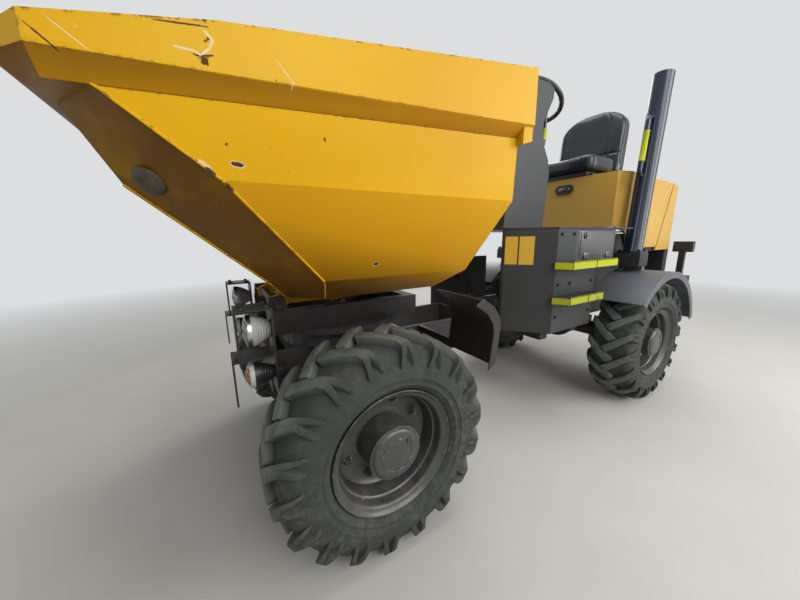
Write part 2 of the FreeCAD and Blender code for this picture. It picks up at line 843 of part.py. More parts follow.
def seat_backrest():
    low = seat_cushion_bottom
    high = low + seat_back_height
    x = seat_back_front
    a = seat_corner
    d = a * (1 - math.sqrt(0.5))
    corners = [V(x, -seat_half, low), V(x, -seat_half, high - a), V(x, -seat_half + a, high),
               V(x, seat_half - a, high), V(x, seat_half, high - a), V(x, seat_half, low)]
    edges = [
        Part.makeLine(corners[0], corners[1]),
        Part.Arc(corners[1], V(x, -seat_half + d, high - d), corners[2]).toShape(),
        Part.makeLine(corners[2], corners[3]),
        Part.Arc(corners[3], V(x, seat_half - d, high - d), corners[4]).toShape(),
        Part.makeLine(corners[4], corners[5]),
        Part.makeLine(corners[5], corners[0]),
    ]
    pad = Part.Face(Part.Wire(edges)).extrude(V(seat_back_rear - seat_back_front + 30, 0, 0))
    front = max(pad.Faces, key=lambda face: face.CenterOfMass.x)
    pad = pad.makeFillet(seat_round, front.Edges)
    pad.rotate(V(x, 0, low), V(0, 1, 0), -5)
    return pad.common(box(seat_back_rear - far, far, -seat_half, seat_half, low, high + far))


def rear_bumper():
    top = rail_top + bumper_height
    beam = box(cowl_rear - bumper_depth, rear_frame_end, -bumper_half, bumper_half, rail_top, top)
    post = box(rear_frame_end, rear_frame_end + 50, -rail_outside, rail_outside, rail_top, cowl_bottom)
    lift = box(cowl_rear, rear_frame_end, -bonnet_half, bonnet_half, top, cowl_bottom)
    jaw_front = cowl_rear - bumper_depth + past
    plates = [box(jaw_end_x, jaw_front, -jaw_half, jaw_half, rail_top, rail_top + jaw_plate),
              box(jaw_end_x, jaw_front, -jaw_half, jaw_half, rail_top + jaw_height - jaw_plate, rail_top + jaw_height)]
    bore = cylinder(V(jaw_bore_x, 0, rail_top - past), V(jaw_bore_x, 0, rail_top + jaw_height + past), jaw_bore_radius)
    return fused([beam, post, lift] + plates).cut(bore)


def rear_lamp():
    case = box(cowl_rear - 60, cowl_rear - 15, 440, 560, cowl_bottom - 20, cowl_bottom + 60)
    stalk = box(cowl_rear - 45, cowl_rear - 15, 480, 520, rail_top + bumper_height, cowl_bottom)
    middle = cowl_bottom + 20
    lenses = [cylinder(V(cowl_rear - 66, y, middle), V(cowl_rear - 60, y, middle), 24) for y in (470, 530)]
    return fused([case, stalk] + lenses)


def post_point(height, forward):
    lean = (post_top_x - post_foot_x) / post_height
    return V(post_foot_x + lean * height + forward, post_y, post_foot_z + height)


def roll_post():
    tube = cylinder(post_point(0, 0), post_point(post_height, 0), post_radius)
    flange = box(post_foot_x - 52, post_foot_x + 50, post_y - 65, post_y + 65, post_foot_z, post_foot_z + post_flange)
    gusset = prism_xz([(post_foot_x + 10, post_foot_z), (post_foot_x + 50, post_foot_z),
                       (post_foot_x + 20, post_foot_z + 130)], post_y - 6, post_y + 6)
    above = box(post_foot_x - far, post_foot_x + far, 0, far, post_foot_z, post_foot_z + post_height * 2)
    ring = Part.makeTorus(16, 4, post_point(post_height * 0.77, -post_radius - 14), V(0, 1, 0))
    return fused([tube.common(above), flange, gusset, ring])


def grab_handle():
    low = post_point(handle_low, post_radius - handle_radius)
    high = post_point(handle_high, post_radius - handle_radius)
    out = V(handle_reach - post_radius + handle_radius, 0, 0)
    post = cylinder(post_point(0, 0), post_point(post_height, 0), post_radius + seat_gap)
    tilt = V(0, 0, handle_radius)
    points = [low, low.add(out).add(tilt), high.add(out).sub(tilt), high]
    return bent_tube(points, handle_radius, handle_radius * 2).cut(post)


def console_handle():
    x = console_front - console_rear_edge[5][0] - handle_radius * 2
    z0 = deck_top + console_rear_edge[6][1]
    z1 = deck_top + console_rear_edge[3][1]
    y = console_half - cheek_thickness / 2
    points = [V(x + handle_radius * 3, y, z0), V(x - handle_radius, y, z0), V(x - handle_radius, y, z1),
              V(x + handle_radius * 3, y, z1)]
    return bent_tube(points, handle_radius * 0.8, handle_radius * 2).cut(console())


def mudguard():
    middle = V(rear_axle_x, mudguard_inside, tyre_radius)
    width = mudguard_outside - mudguard_inside
    outer = Part.makeCylinder(mudguard_radius + mudguard_wall, width, middle, V(0, 1, 0))
    inner = Part.makeCylinder(mudguard_radius, width - mudguard_wall, middle, V(0, 1, 0))
    opening = Part.makeCylinder(mudguard_radius - mudguard_lip, width + past, middle, V(0, 1, 0))
    keep = prism_xz([(rear_axle_x, tyre_radius), (rear_axle_x + 2 * far, tyre_radius + 0.3 * far),
                     (rear_axle_x + 2 * far, tyre_radius + 2 * far), (rear_axle_x - 2 * far, tyre_radius + 2 * far),
                     (rear_axle_x - 2 * far, tyre_radius + 0.2 * far)], mudguard_inside - 10, mudguard_outside + 10)
    arch = outer.cut(inner).cut(opening).common(keep)
    bracket = box(rops_beam_rear, rops_beam_rear + 40, mudguard_inside + 40, rops_beam_half - 10,
                  tyre_radius + mudguard_radius + 2, rops_beam_bottom - seat_gap)
    return fused([arch, bracket])


# Side view of the front mudguard. Columns: distance behind the axle, height above the axle.
front_guard_line = [(400.0, 218.0), (420.0, 364.0), (412.0, 396.0), (386.0, 434.0), (328.0, 472.0)]


def front_mudguard():
    guard_sheet = 10
    near = [(front_axle_x - back, tyre_radius + up) for back, up in front_guard_line]
    rear = [(x - guard_sheet, z + guard_sheet * 0.5) for x, z in reversed(near)]
    plate = prism_xz(near + rear, front_guard_inside, front_guard_outside)
    lip = [(x + 26, z - 16) for x, z in reversed(near)]
    edge = prism_xz(near + lip, front_guard_outside - guard_sheet * 0.6, front_guard_outside)
    arm = box(near[0][0] - 32, near[0][0] - guard_sheet, rail_outside, front_guard_inside + 20, rail_top - 40, rail_top)
    return fused([plate, edge, arm])


def slotted_guard(x, y0, y1, z0, z1):
    plate = box(x, x + lamp_sheet, y0, y1, z0, z1)
    wide = (y1 - y0 - 3 * guard_web) / 2
    tall = (z1 - z0 - (guard_rows + 1) * guard_web) / guard_rows
    slots = []
    for column in range(2):
        for row in range(guard_rows):
            y = y0 + guard_web + column * (wide + guard_web)
            z = z0 + guard_web + row * (tall + guard_web)
            slots.append(box(x - past, x + lamp_sheet + past, y, y + wide, z, z + tall))
    return plate.cut(Part.makeCompound(slots))


def lamp_bracket():
    x0 = front_frame_end + cross_wall
    y0 = lamp_y - lamp_box_half
    y1 = lamp_y + lamp_box_half
    arm = box(x0 - 40, x0, rail_outside, lamp_y, rail_top - 40, rail_top)
    back = box(x0, x0 + lamp_sheet, y0, y1, lamp_low_z, lamp_top_z)
    shelf = box(x0, x0 + lamp_upper_reach, y0, y1, lamp_top_z - lamp_sheet, lamp_top_z)
    tray = box(x0, x0 + lamp_lower_reach, y0, y1, lamp_tray_z - lamp_sheet, lamp_tray_z)
    upper = slotted_guard(x0 + lamp_upper_reach - lamp_sheet, y0, y1, lamp_tray_z - lamp_sheet, lamp_top_z)
    lower = slotted_guard(x0 + lamp_lower_reach - lamp_sheet, y0, y1, lamp_low_z, lamp_tray_z)
    return fused([arm, back, shelf, tray, upper, lower])


# A lamp's outline. Columns: share of its length, share of its radius.
lamp_line = [(0.0, 0.0), (0.0, 0.55), (0.35, 0.9), (0.5, 1.0), (0.8, 1.0), (0.97, 0.6), (1.0, 0.0)]


def lamp(z, radius, length):
    x0 = front_frame_end + cross_wall + lamp_sheet + seat_gap
    corners = [V(x0 + length * along, lamp_y, z + radius * out) for along, out in lamp_line]
    return Part.Face(Part.makePolygon(corners + [corners[0]])).revolve(V(0, lamp_y, z), V(1, 0, 0), 360)


def headlamp():
    return lamp((lamp_top_z + lamp_tray_z) / 2, headlamp_radius, lamp_upper_reach - 26)


def indicator():
    return lamp((lamp_tray_z + lamp_low_z) / 2, indicator_radius, lamp_lower_reach - 40)


def turntable():
    z0 = ring_top + seat_gap
    z1 = z0 + table_thickness
    plate = cylinder(V(slew_x, 0, z0), V(slew_x, 0, z1), table_radius)
    hole = cylinder(V(slew_x, 0, z0 - past), V(slew_x, 0, z1 + past), table_bore)
    shapes = [plate.cut(hole)]
    beam_outside = table_beam_inside + table_beam_width
    section = [(table_beam_inside, z1 - past), (beam_outside - 16, z1 - past), (beam_outside, z1 + table_skirt),
               (beam_outside, table_beam_top), (table_beam_inside, table_beam_top)]
    shapes += both_sides(prism_yz(section, table_beam_rear, table_beam_front))
    shapes += both_sides(prism_xz([(hinge_x - 40, table_beam_top - 20), (hinge_x - 28, hinge_z + 26),
                                   (hinge_x + 28, hinge_z + 26), (hinge_x + 35, table_beam_top - 20)],
                                  table_beam_inside, beam_outside))
    shapes.append(box(table_beam_rear, table_beam_rear + 50, -table_beam_inside - past, table_beam_inside + past,
                      z1 - past, table_beam_top))
    lug_in = tip_lug_y - tip_lug_half
    lug_out = tip_lug_y + tip_lug_half
    shapes += both_sides(box(tip_foot_x - 24, tip_foot_x + 24, lug_in, lug_out, tip_foot_z - 30, z1))
    shapes += both_sides(box(slew_x - table_bore - 20, tip_foot_x, lug_in, lug_out, z0, z1))
    table = fused(shapes)
    pin_half = beam_outside + 10
    pin = cylinder(V(hinge_x, -pin_half, hinge_z), V(hinge_x, pin_half, hinge_z), hinge_pin_radius)
    foot_pin = cylinder(V(tip_foot_x, -lug_out, tip_foot_z), V(tip_foot_x, lug_out, tip_foot_z), tip_pin_radius)
    return fused([table, pin, foot_pin])


# Columns: height above the floor, rear face x, side's front end x, front face x, half width, front's half width
skip_levels = [
    (0.0, 620.0, 1085.0, 1190.0, 400.0, 300.0),
    (75.0, 547.0, 1117.0, 1262.0, 512.0, 400.0),
    (322.0, 476.0, 1359.0, 1540.0, 662.0, 520.0),
    (765.0, 462.0, 1915.0, 1762.0, 668.0, 625.0),
]


def level_wire(row, lift, inset):
    height, rear, side_front, front, half, front_half = row
    x0 = rear + inset
    x1 = side_front - inset * 0.5
    x2 = front - inset * 1.4
    y1 = half - inset
    y2 = front_half - inset * 0.8
    points = [(x0, y1), (x1, y1), (x2, y2), (x2, -y2), (x1, -y1), (x0, -y1)]
    corners = [V(x, y, skip_floor_z + height + lift) for x, y in points]
    return Part.makePolygon(corners + [corners[0]])


def bent_line(rear_z, bend_z, front_z):
    # A line along the skip's side that bends once on its way to the lip.
    rear_slope = (bend_z - rear_z) / (rim_bend_x - skip_rear_x)
    front_slope = (front_z - bend_z) / (skip_lip_x - rim_bend_x)
    return [(skip_rear_x - far, rear_z - far * rear_slope), (rim_bend_x, bend_z),
            (skip_lip_x + far, front_z + far * front_slope)]


def band_fold(line, part, left):
    # The band's lower edge folds inward to meet the skin.
    (x0, z0), (x1, z1) = line[part:part + 2]
    slope = (z1 - z0) / (x1 - x0)
    wires = []
    for inset, drop in ((0, 0), (band_fold_inset, band_fold_drop)):
        moves = {skip_rear_x: inset, skip_lip_x: -inset}
        half = [(x + moves.get(x, 0), y - inset) for x, y in left]
        corners = [V(x, y, z0 + slope * (x - x0) - drop) for x, y in half + [(x, -y) for x, y in reversed(half)]]
        wires.append(Part.makePolygon(corners + [corners[0]]))
    return Part.makeLoft(wires, True, True)


def skip():
    outer = Part.makeLoft([level_wire(row, 0, 0) for row in skip_levels], True, True)
    lifts = [skip_wall] + [0] * (len(skip_levels) - 1)
    inner = Part.makeLoft([level_wire(row, lift, skip_wall) for row, lift in zip(skip_levels, lifts)], True, True)
    rim_line = bent_line(skip_rim_rear_z, rim_bend_z, skip_rim_front_z)
    band_line = bent_line(band_rear_z, band_bend_z, band_front_z)
    high = skip_rim_rear_z + far
    above = prism_xz(rim_line + [(skip_lip_x + far, high), (skip_rear_x - far, high)], -2 * far, 2 * far)
    shell = outer.cut(inner).cut(above)
    band_zone = prism_xz(band_line + rim_line[::-1], -2 * far, 2 * far)
    left = [(skip_rear_x, skip_half), (skip_lip_corner_x, skip_half), (skip_lip_x, skip_lip_half)]
    band = prism_xy(left + [(x, -y) for x, y in reversed(left)], skip_floor_z, high).common(band_zone)
    rear_fold = band_fold(band_line, 0, [(skip_rear_x, skip_half), (rim_bend_x, skip_half)])
    front_fold = band_fold(band_line, 1, [(rim_bend_x, skip_half)] + left[1:])
    band = band.fuse([rear_fold, front_fold]).cut(outer)
    gusset = prism_xz([(skip_rear_x, band_rear_z), (skip_rear_x, band_rear_z - 48),
                       (skip_rear_x + 46, band_rear_z - 62), (skip_rear_x + 46, band_rear_z)],
                      skip_half - 45, skip_half - 6).cut(outer)
    rib = prism_yz([(-rib_width / 2, skip_floor_z + 330), (rib_width / 2, skip_floor_z + 330),
                    (rib_width / 2, band_rear_z), (-rib_width / 2, band_rear_z)],
                   skip_rear_x + rib_proud, skip_rear_x + 60).cut(outer)
    ribs = [rib.copy(), rib.copy()]
    for shape, offset in zip(ribs, (-260, 260)):
        shape.translate(V(0, offset, 0))
    return fused([shell, band] + both_sides(gusset) + ribs)


def skip_underframe():
    shapes = []
    lug = tip_lug_y - 19
    for side in (-1, 1):
        y0 = side * runner_y - runner_half
        y1 = side * runner_y + runner_half
        shapes.append(box(runner_rear_x, runner_front_x, y0, y1, table_beam_top + 18, skip_floor_z))
        shapes.append(prism_xz([(hinge_x - 90, skip_floor_z), (hinge_x - 35, hinge_z - 25), (hinge_x + 20, hinge_z - 25),
                                (hinge_x + 26, hinge_z + 10), (hinge_x - 30, skip_floor_z)], y0, y1))
        shapes.append(box(tip_eye_x - 32, tip_eye_x + 32, side * lug - 6, side * lug + 6, tip_eye_z - 28, skip_floor_z))
    shapes.append(box(tip_eye_x - 20, tip_eye_x + 20, -runner_y - runner_half, runner_y + runner_half,
                      skip_floor_z - 10, skip_floor_z))
    frame = fused(shapes)
    bore = cylinder(V(hinge_x, -far, hinge_z), V(hinge_x, far, hinge_z), hinge_pin_radius + running_gap)
    return frame.cut(bore)


def cylinder_barrel(foot, eye, radius, rod_radius, length, pin_axis, pin_radius, pin_half):
    along = eye.sub(foot)
    along.normalize()
    tube = cylinder(foot.add(along * (pin_radius + 5)), foot.add(along * length), radius)
    boss = cylinder(foot.sub(pin_axis * pin_half), foot.add(pin_axis * pin_half), pin_radius + 8)
    hole = cylinder(foot.sub(pin_axis * far), foot.add(pin_axis * far), pin_radius + running_gap)
    bore = cylinder(foot.add(along * (pin_radius + 14)), foot.add(along * (length + past)), rod_radius + running_gap)
    return fused([tube, boss]).cut(hole).cut(bore)


def cylinder_rod(foot, eye, radius, tail, pin_axis, eye_radius, eye_half):
    along = eye.sub(foot)
    along.normalize()
    rod = cylinder(foot.add(along * tail), eye, radius)
    boss = cylinder(eye.sub(pin_axis * eye_half), eye.add(pin_axis * eye_half), eye_radius)
    hole = cylinder(eye.sub(pin_axis * far), eye.add(pin_axis * far), eye_radius / 2)
    return fused([rod, boss]).cut(hole)


# Hoses from each side tank to the pivot. Columns: x at the tank, y of the drop, height above the rails.
hose_rows = [(-30.0, 150.0, 190.0), (-62.0, 116.0, 160.0)]


def hoses_one_side():
    shapes = []
    end_x = rear_frame_nose - cross_wall / 2
    for x, y, height in hose_rows:
        z = rail_top + height
        points = [V(x, tank_inside, z), V(x, y, z), V(end_x, y, z - hose_bend), V(end_x, y, rail_top)]
        shapes.append(bent_tube(points, hose_radius, hose_bend * 0.5))
    return shapes


def export(name, shape):
    placed = shape.copy()
    placed.translate(V(-(skip_lip_x + jaw_end_x) / 2, 0, 0))
    placed.exportStep(os.path.join("parts", name + ".step"))


os.makedirs("parts", exist_ok=True)
tip_foot = V(tip_foot_x, 0, tip_foot_z)
tip_eye = V(tip_eye_x, 0, tip_eye_z)
steer_foot = V(steer_foot_x, steer_foot_y, steer_z)
steer_eye = V(steer_eye_x, steer_eye_y, steer_z)
side_names = ((1, "left"), (-1, "right"))
for axle_x, end in ((front_axle_x, "front"), (rear_axle_x, "rear")):
    export(end + "_axle", axle(axle_x))
    for side, hand in side_names:
        export("tyre_" + end + "_" + hand, tyre(axle_x, side))
        export("rim_" + end + "_" + hand, rim(axle_x, side))
export("rear_frame", rear_frame())
export("front_frame", front_frame())
export("slew_pedestal", slew_pedestal())
export("engine_block", box(engine_rear, engine_front, -engine_half, engine_half, rail_top, rail_top + engine_height))
export("deck_plate", deck_plate())
export("side_tank_left", side_tank())
export("side_tank_right", mirrored(side_tank()))
export("battery_box", battery_box())
export("pedals", pair(pedal()))
export("console", console())
export("control_lever", control_lever())
export("steering_column", steering_column())
export("steering_wheel", steering_wheel())
export("steps", Part.makeCompound(steps_one_side() + [mirrored(step) for step in steps_one_side()]))
export("rear_mudguards", pair(mudguard()))
export("rear_cowl", rear_cowl())
export("radiator_grille", radiator_grille())
export("rear_bumper", rear_bumper())
export("rear_lamps", pair(rear_lamp()))
export("roll_bar_posts", pair(roll_post()))
export("grab_handles", Part.makeCompound(both_sides(grab_handle()) + both_sides(console_handle())))
export("bonnet", bonnet())
export("bonnet_latch", bonnet_latch())
export("seat_base", seat_base())
export("seat_cushion", seat_cushion())
export("seat_backrest", seat_backrest())
export("front_mudguards", pair(front_mudguard()))
export("lamp_brackets", pair(lamp_bracket()))
export("headlamps", pair(headlamp()))
export("indicators", pair(indicator()))
export("turntable", turntable())
export("skip", skip())
export("skip_underframe", skip_underframe())
export("tip_cylinder_barrel", cylinder_barrel(tip_foot, tip_eye, tip_barrel_radius, tip_rod_radius,
                                              tip_barrel_length, V(0, 1, 0), tip_pin_radius, 40))
export("tip_cylinder_rod", cylinder_rod(tip_foot, tip_eye, tip_rod_radius, tip_rod_tail, V(0, 1, 0), tip_eye_radius, 24))
export("steering_cylinder_barrel", cylinder_barrel(steer_foot, steer_eye, steer_barrel_radius, steer_rod_radius,
                                                   steer_barrel_length, V(0, 0, 1), steer_pin_radius, 22))
export("steering_cylinder_rod", cylinder_rod(steer_foot, steer_eye, steer_rod_radius, steer_rod_tail,
                                             V(0, 0, 1), steer_eye_radius, 14))
export("hydraulic_hoses", Part.makeCompound(hoses_one_side() + [mirrored(hose) for hose in hoses_one_side()]))
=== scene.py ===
# %% [markdown]
# # A site dumper, dressed for its portrait
# The machine comes from its CAD model as a set of rigid nodes. This lesson gives every
# node its paint, rubber or steel, and adds the parts that a mesh tool makes better than
# a solid modeller: lugged tyres, a stitched seat, hoses, bolts and worn edges.

# %% Load the frame
import bpy
import bmesh
import json
import math
from mathutils import Matrix, Vector

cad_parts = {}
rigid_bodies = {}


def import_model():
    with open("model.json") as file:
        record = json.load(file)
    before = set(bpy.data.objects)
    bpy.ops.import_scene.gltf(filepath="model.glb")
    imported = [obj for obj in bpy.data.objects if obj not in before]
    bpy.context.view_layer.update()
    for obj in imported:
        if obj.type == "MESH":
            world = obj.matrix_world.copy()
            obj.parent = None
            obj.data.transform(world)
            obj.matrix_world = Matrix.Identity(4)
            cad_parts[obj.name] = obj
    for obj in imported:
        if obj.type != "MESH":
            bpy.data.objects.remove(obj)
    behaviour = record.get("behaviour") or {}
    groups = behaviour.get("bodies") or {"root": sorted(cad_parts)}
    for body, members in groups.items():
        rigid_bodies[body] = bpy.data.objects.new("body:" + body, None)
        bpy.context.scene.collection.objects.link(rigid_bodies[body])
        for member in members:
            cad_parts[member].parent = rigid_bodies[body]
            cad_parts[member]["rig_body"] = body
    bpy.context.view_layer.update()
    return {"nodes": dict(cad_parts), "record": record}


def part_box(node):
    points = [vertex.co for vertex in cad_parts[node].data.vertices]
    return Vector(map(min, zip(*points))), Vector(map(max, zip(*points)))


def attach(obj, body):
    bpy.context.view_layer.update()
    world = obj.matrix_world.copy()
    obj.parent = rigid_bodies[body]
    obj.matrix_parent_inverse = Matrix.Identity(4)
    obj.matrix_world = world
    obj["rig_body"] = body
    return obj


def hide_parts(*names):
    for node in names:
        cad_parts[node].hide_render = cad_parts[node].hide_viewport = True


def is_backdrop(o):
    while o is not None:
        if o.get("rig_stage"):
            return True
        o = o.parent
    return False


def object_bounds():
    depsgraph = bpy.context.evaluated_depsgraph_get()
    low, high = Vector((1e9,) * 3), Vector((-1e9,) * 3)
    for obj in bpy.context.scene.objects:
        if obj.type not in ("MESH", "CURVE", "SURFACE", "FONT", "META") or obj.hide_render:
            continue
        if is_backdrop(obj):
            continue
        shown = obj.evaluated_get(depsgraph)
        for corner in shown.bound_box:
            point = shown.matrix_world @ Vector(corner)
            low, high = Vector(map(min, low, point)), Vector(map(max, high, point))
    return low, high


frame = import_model()
nodes = frame["nodes"]

# %% [markdown]
# ## The camera
# The picture was taken from close by with a very wide lens, at the height of the skip's
# belly. Such a lens makes near things look big, so the camera has to stand just where
# the photographer stood. A turned basis is built from yaw, pitch and roll.

# %% Camera
CAMERA_PLACE = Vector((1.4540, 1.4067, 1.0779))
CAMERA_YAW = -2.1091
CAMERA_PITCH = -0.2045
CAMERA_ROLL = -0.0129
CAMERA_LENS = 13.593


def camera_matrix(place, yaw, pitch, roll):
    forward = Vector((math.cos(yaw) * math.cos(pitch), math.sin(yaw) * math.cos(pitch), math.sin(pitch)))
    right = forward.cross(Vector((0, 0, 1))).normalized()
    up = right.cross(forward)
    side = right * math.cos(roll) + up * math.sin(roll)
    head = side.cross(forward)
    turned = Matrix((side, head, -forward)).transposed()
    return Matrix.Translation(place) @ turned.to_4x4()


camera = bpy.data.objects.new("camera", bpy.data.cameras.new("camera"))
bpy.context.scene.collection.objects.link(camera)
camera.data.lens = CAMERA_LENS
camera.data.clip_start = 0.02
camera.matrix_world = camera_matrix(CAMERA_PLACE, CAMERA_YAW, CAMERA_PITCH, CAMERA_ROLL)
bpy.context.scene.camera = camera
bpy.context.scene.view_settings.view_transform = "Standard"

# %% [markdown]
# ## Floor and light
# A pale floor and a soft studio stand in for the shed. The world gives an even fill and
# large area lamps model the forms. The background colour is only for the camera's own
# rays and for reflections, so it adds no light to the machine. Every shader in this
# lesson is a row of nodes, so a helper adds one node and fills its sockets.

# %% Lamps and world
FLOOR_COLOR = (0.53, 0.52, 0.48)
WORLD_COLOR = (0.80, 0.82, 0.84)
BACKDROP_COLOR = (0.72, 0.73, 0.74)
WORLD_STRENGTH = 0.43


def add_node(tree, kind, sockets=None, **settings):
    """A new node with its settings. A socket gets a value or another node's output."""
    node = tree.nodes.new("ShaderNode" + kind)
    for name, value in settings.items():
        setattr(node, name, value)
    for socket, value in (sockets or {}).items():
        target = node.inputs[socket]
        if isinstance(value, bpy.types.NodeSocket):
            tree.links.new(value, target)
        else:
            target.default_value = (*value, 1) if target.type == "RGBA" else value
    return node


def seen_ray(tree):
    """1 for the rays that see a background: the camera's own, mirrored and passed through glass."""
    path = add_node(tree, "LightPath")
    either = path.outputs["Is Camera Ray"]
    for ray in ("Is Glossy Ray", "Is Transmission Ray"):
        either = add_node(tree, "Math", {0: either, 1: path.outputs[ray]}, operation="MAXIMUM").outputs[0]
    return either


def make_world():
    world = bpy.data.worlds.new("studio")
    bpy.context.scene.world = world
    world.use_nodes = True
    tree = world.node_tree
    tree.nodes.clear()
    light = add_node(tree, "Background", {"Color": WORLD_COLOR, "Strength": WORLD_STRENGTH})
    seen = add_node(tree, "Background", {"Color": BACKDROP_COLOR})
    mix = add_node(tree, "MixShader", {0: seen_ray(tree), 1: light.outputs[0], 2: seen.outputs[0]})
    add_node(tree, "OutputWorld", {0: mix.outputs[0]})


LAMPS = [
    # name, place, aim, size, watts
    ("key", (0.5, 4.4, 3.4), (0.2, 0.2, 0.9), 2.4, 106),
    ("fill", (-2.6, 3.8, 2.6), (-0.8, 0.0, 0.9), 2.4, 115),
    ("top", (0.0, 0.0, 4.6), (0.0, 0.0, 1.0), 3.4, 105),
    ("far", (-3.5, -3.2, 3.2), (0.0, 0.0, 0.9), 2.6, 90),
]


def make_lamps():
    for name, place, aim, size, watts in LAMPS:
        data = bpy.data.lights.new(name, "AREA")
        data.size = size
        data.energy = watts
        lamp = bpy.data.objects.new(name, data)
        lamp.location = place
        lamp.rotation_mode = "QUATERNION"
        lamp.rotation_quaternion = (Vector(aim) - Vector(place)).to_track_quat("-Z", "Y")
        bpy.context.scene.collection.objects.link(lamp)


make_world()
make_lamps()
print("lamps:", len(LAMPS))

# %% [markdown]
# ## Building materials from small parts
# A finish is a stack of layers: the paint, dust on it, scratches through it and bare
# steel at the edges. Each layer is a mask made from noise in object space. The helpers
# below keep that stack short to write.

# %% Material helpers
class Finish:
    """A node material that is built up layer by layer."""

    def __init__(self, name, roughness, metallic=0.0, coat=0.0, specular=0.5):
        self.material = bpy.data.materials.new(name)
        self.material.use_nodes = True
        self.tree = self.material.node_tree
        self.tree.nodes.clear()
        self.shader = self.add("BsdfPrincipled", {"Roughness": roughness, "Metallic": metallic,
                                                  "Coat Weight": coat, "Specular IOR Level": specular})
        self.out = self.add("OutputMaterial", {0: self.shader.outputs[0]})
        coordinates = self.add("TexCoord")
        self.place = coordinates.outputs["Object"]
        self.normal = coordinates.outputs["Normal"]

    def add(self, kind, sockets=None, **settings):
        return add_node(self.tree, kind, sockets, **settings)

    def ramp(self, source, low, high, start=0.0, end=1.0):
        span = {"Value": source, "From Min": low, "From Max": high, "To Min": start, "To Max": end}
        return self.add("MapRange", span).outputs[0]

    def noise(self, scale, low, high, detail=4, rough=0.55):
        """A mask from noise: 0 where it is under the low value, 1 over the high one."""
        texture = self.add("TexNoise", {"Vector": self.place, "Scale": scale, "Detail": detail,
                                        "Roughness": rough})
        return self.ramp(texture.outputs[0], low, high)

    def lines(self, scale, width, stretch, turn):
        """Thin scratches: the narrow band where a stretched noise crosses its middle."""
        local = self.add("Mapping", {"Vector": self.place, "Scale": stretch, "Rotation": turn})
        texture = self.add("TexNoise", {"Vector": local.outputs[0], "Scale": scale, "Detail": 1})
        away = self.math("SUBTRACT", texture.outputs[0], 0.5)
        return self.ramp(self.math("ABSOLUTE", away), 0, width, 1, 0)

    def math(self, operation, a, b=0.0, clamp=False):
        return self.add("Math", {0: a, 1: b}, operation=operation, use_clamp=clamp).outputs[0]

    def times(self, a, b):
        return self.math("MULTIPLY", a, b, True)

    def plus(self, a, b):
        return self.math("ADD", a, b, True)

    def vector(self, operation, a, b=(0, 0, 0)):
        return self.add("VectorMath", {0: a, 1: b}, operation=operation).outputs["Value"]

    def edges(self, radius, low=0.02, high=0.12):
        """A mask that is 1 near sharp edges, from the Bevel node's turned normal."""
        rounded = self.add("Bevel", {"Radius": radius}, samples=4).outputs[0]
        flat = self.add("NewGeometry").outputs["Normal"]
        return self.ramp(self.math("SUBTRACT", 1.0, self.vector("DOT_PRODUCT", rounded, flat)), low, high)

    def spot(self, centre, size, lean, ragged):
        """A mask that is 1 inside a ragged ellipsoid, which may lean about the Y axis."""
        local = self.add("Mapping", {"Vector": self.place, "Location": centre, "Rotation": (0, lean, 0),
                                     "Scale": size}, vector_type="TEXTURE")
        return self.ramp(self.math("SUBTRACT", self.vector("LENGTH", local.outputs[0]), ragged), 0.62, 0.50)

    def toward(self, direction, low, high):
        """A mask of the faces that look along a direction."""
        return self.ramp(self.vector("DOT_PRODUCT", self.normal, Vector(direction).normalized()), low, high)

    def mix(self, mask, a, b):
        return self.add("Mix", {0: mask, 6: a, 7: b}, data_type="RGBA").outputs[2]

    def feed(self, socket, source):
        self.tree.links.new(source, self.shader.inputs[socket])

    def color(self, source):
        self.feed("Base Color", source)

    def rough(self, mask, low, high):
        self.feed("Roughness", self.ramp(mask, 0, 1, low, high))

    def bump(self, source, strength, distance):
        node = self.add("Bump", {"Strength": strength, "Distance": distance, "Height": source})
        self.feed("Normal", node.outputs[0])


def darker(color, share):
    return tuple(value * share for value in color)


print("layers are made by", Finish.__name__)

# %% [markdown]
# ## Paints
# The skip and the bonnet are yellow, but a working skip is never one yellow. It is
# chalky where dust lies, scratched in long strokes, and rusty where stone has taken the
# paint off the rim. Faces that look down carry a painted shade of deeper orange, and
# faces that look forward and down a painted shade of dark brown that is partly grime.

# %% Painted finishes
RUST = (0.10, 0.038, 0.018)
DUST = (0.30, 0.26, 0.20)


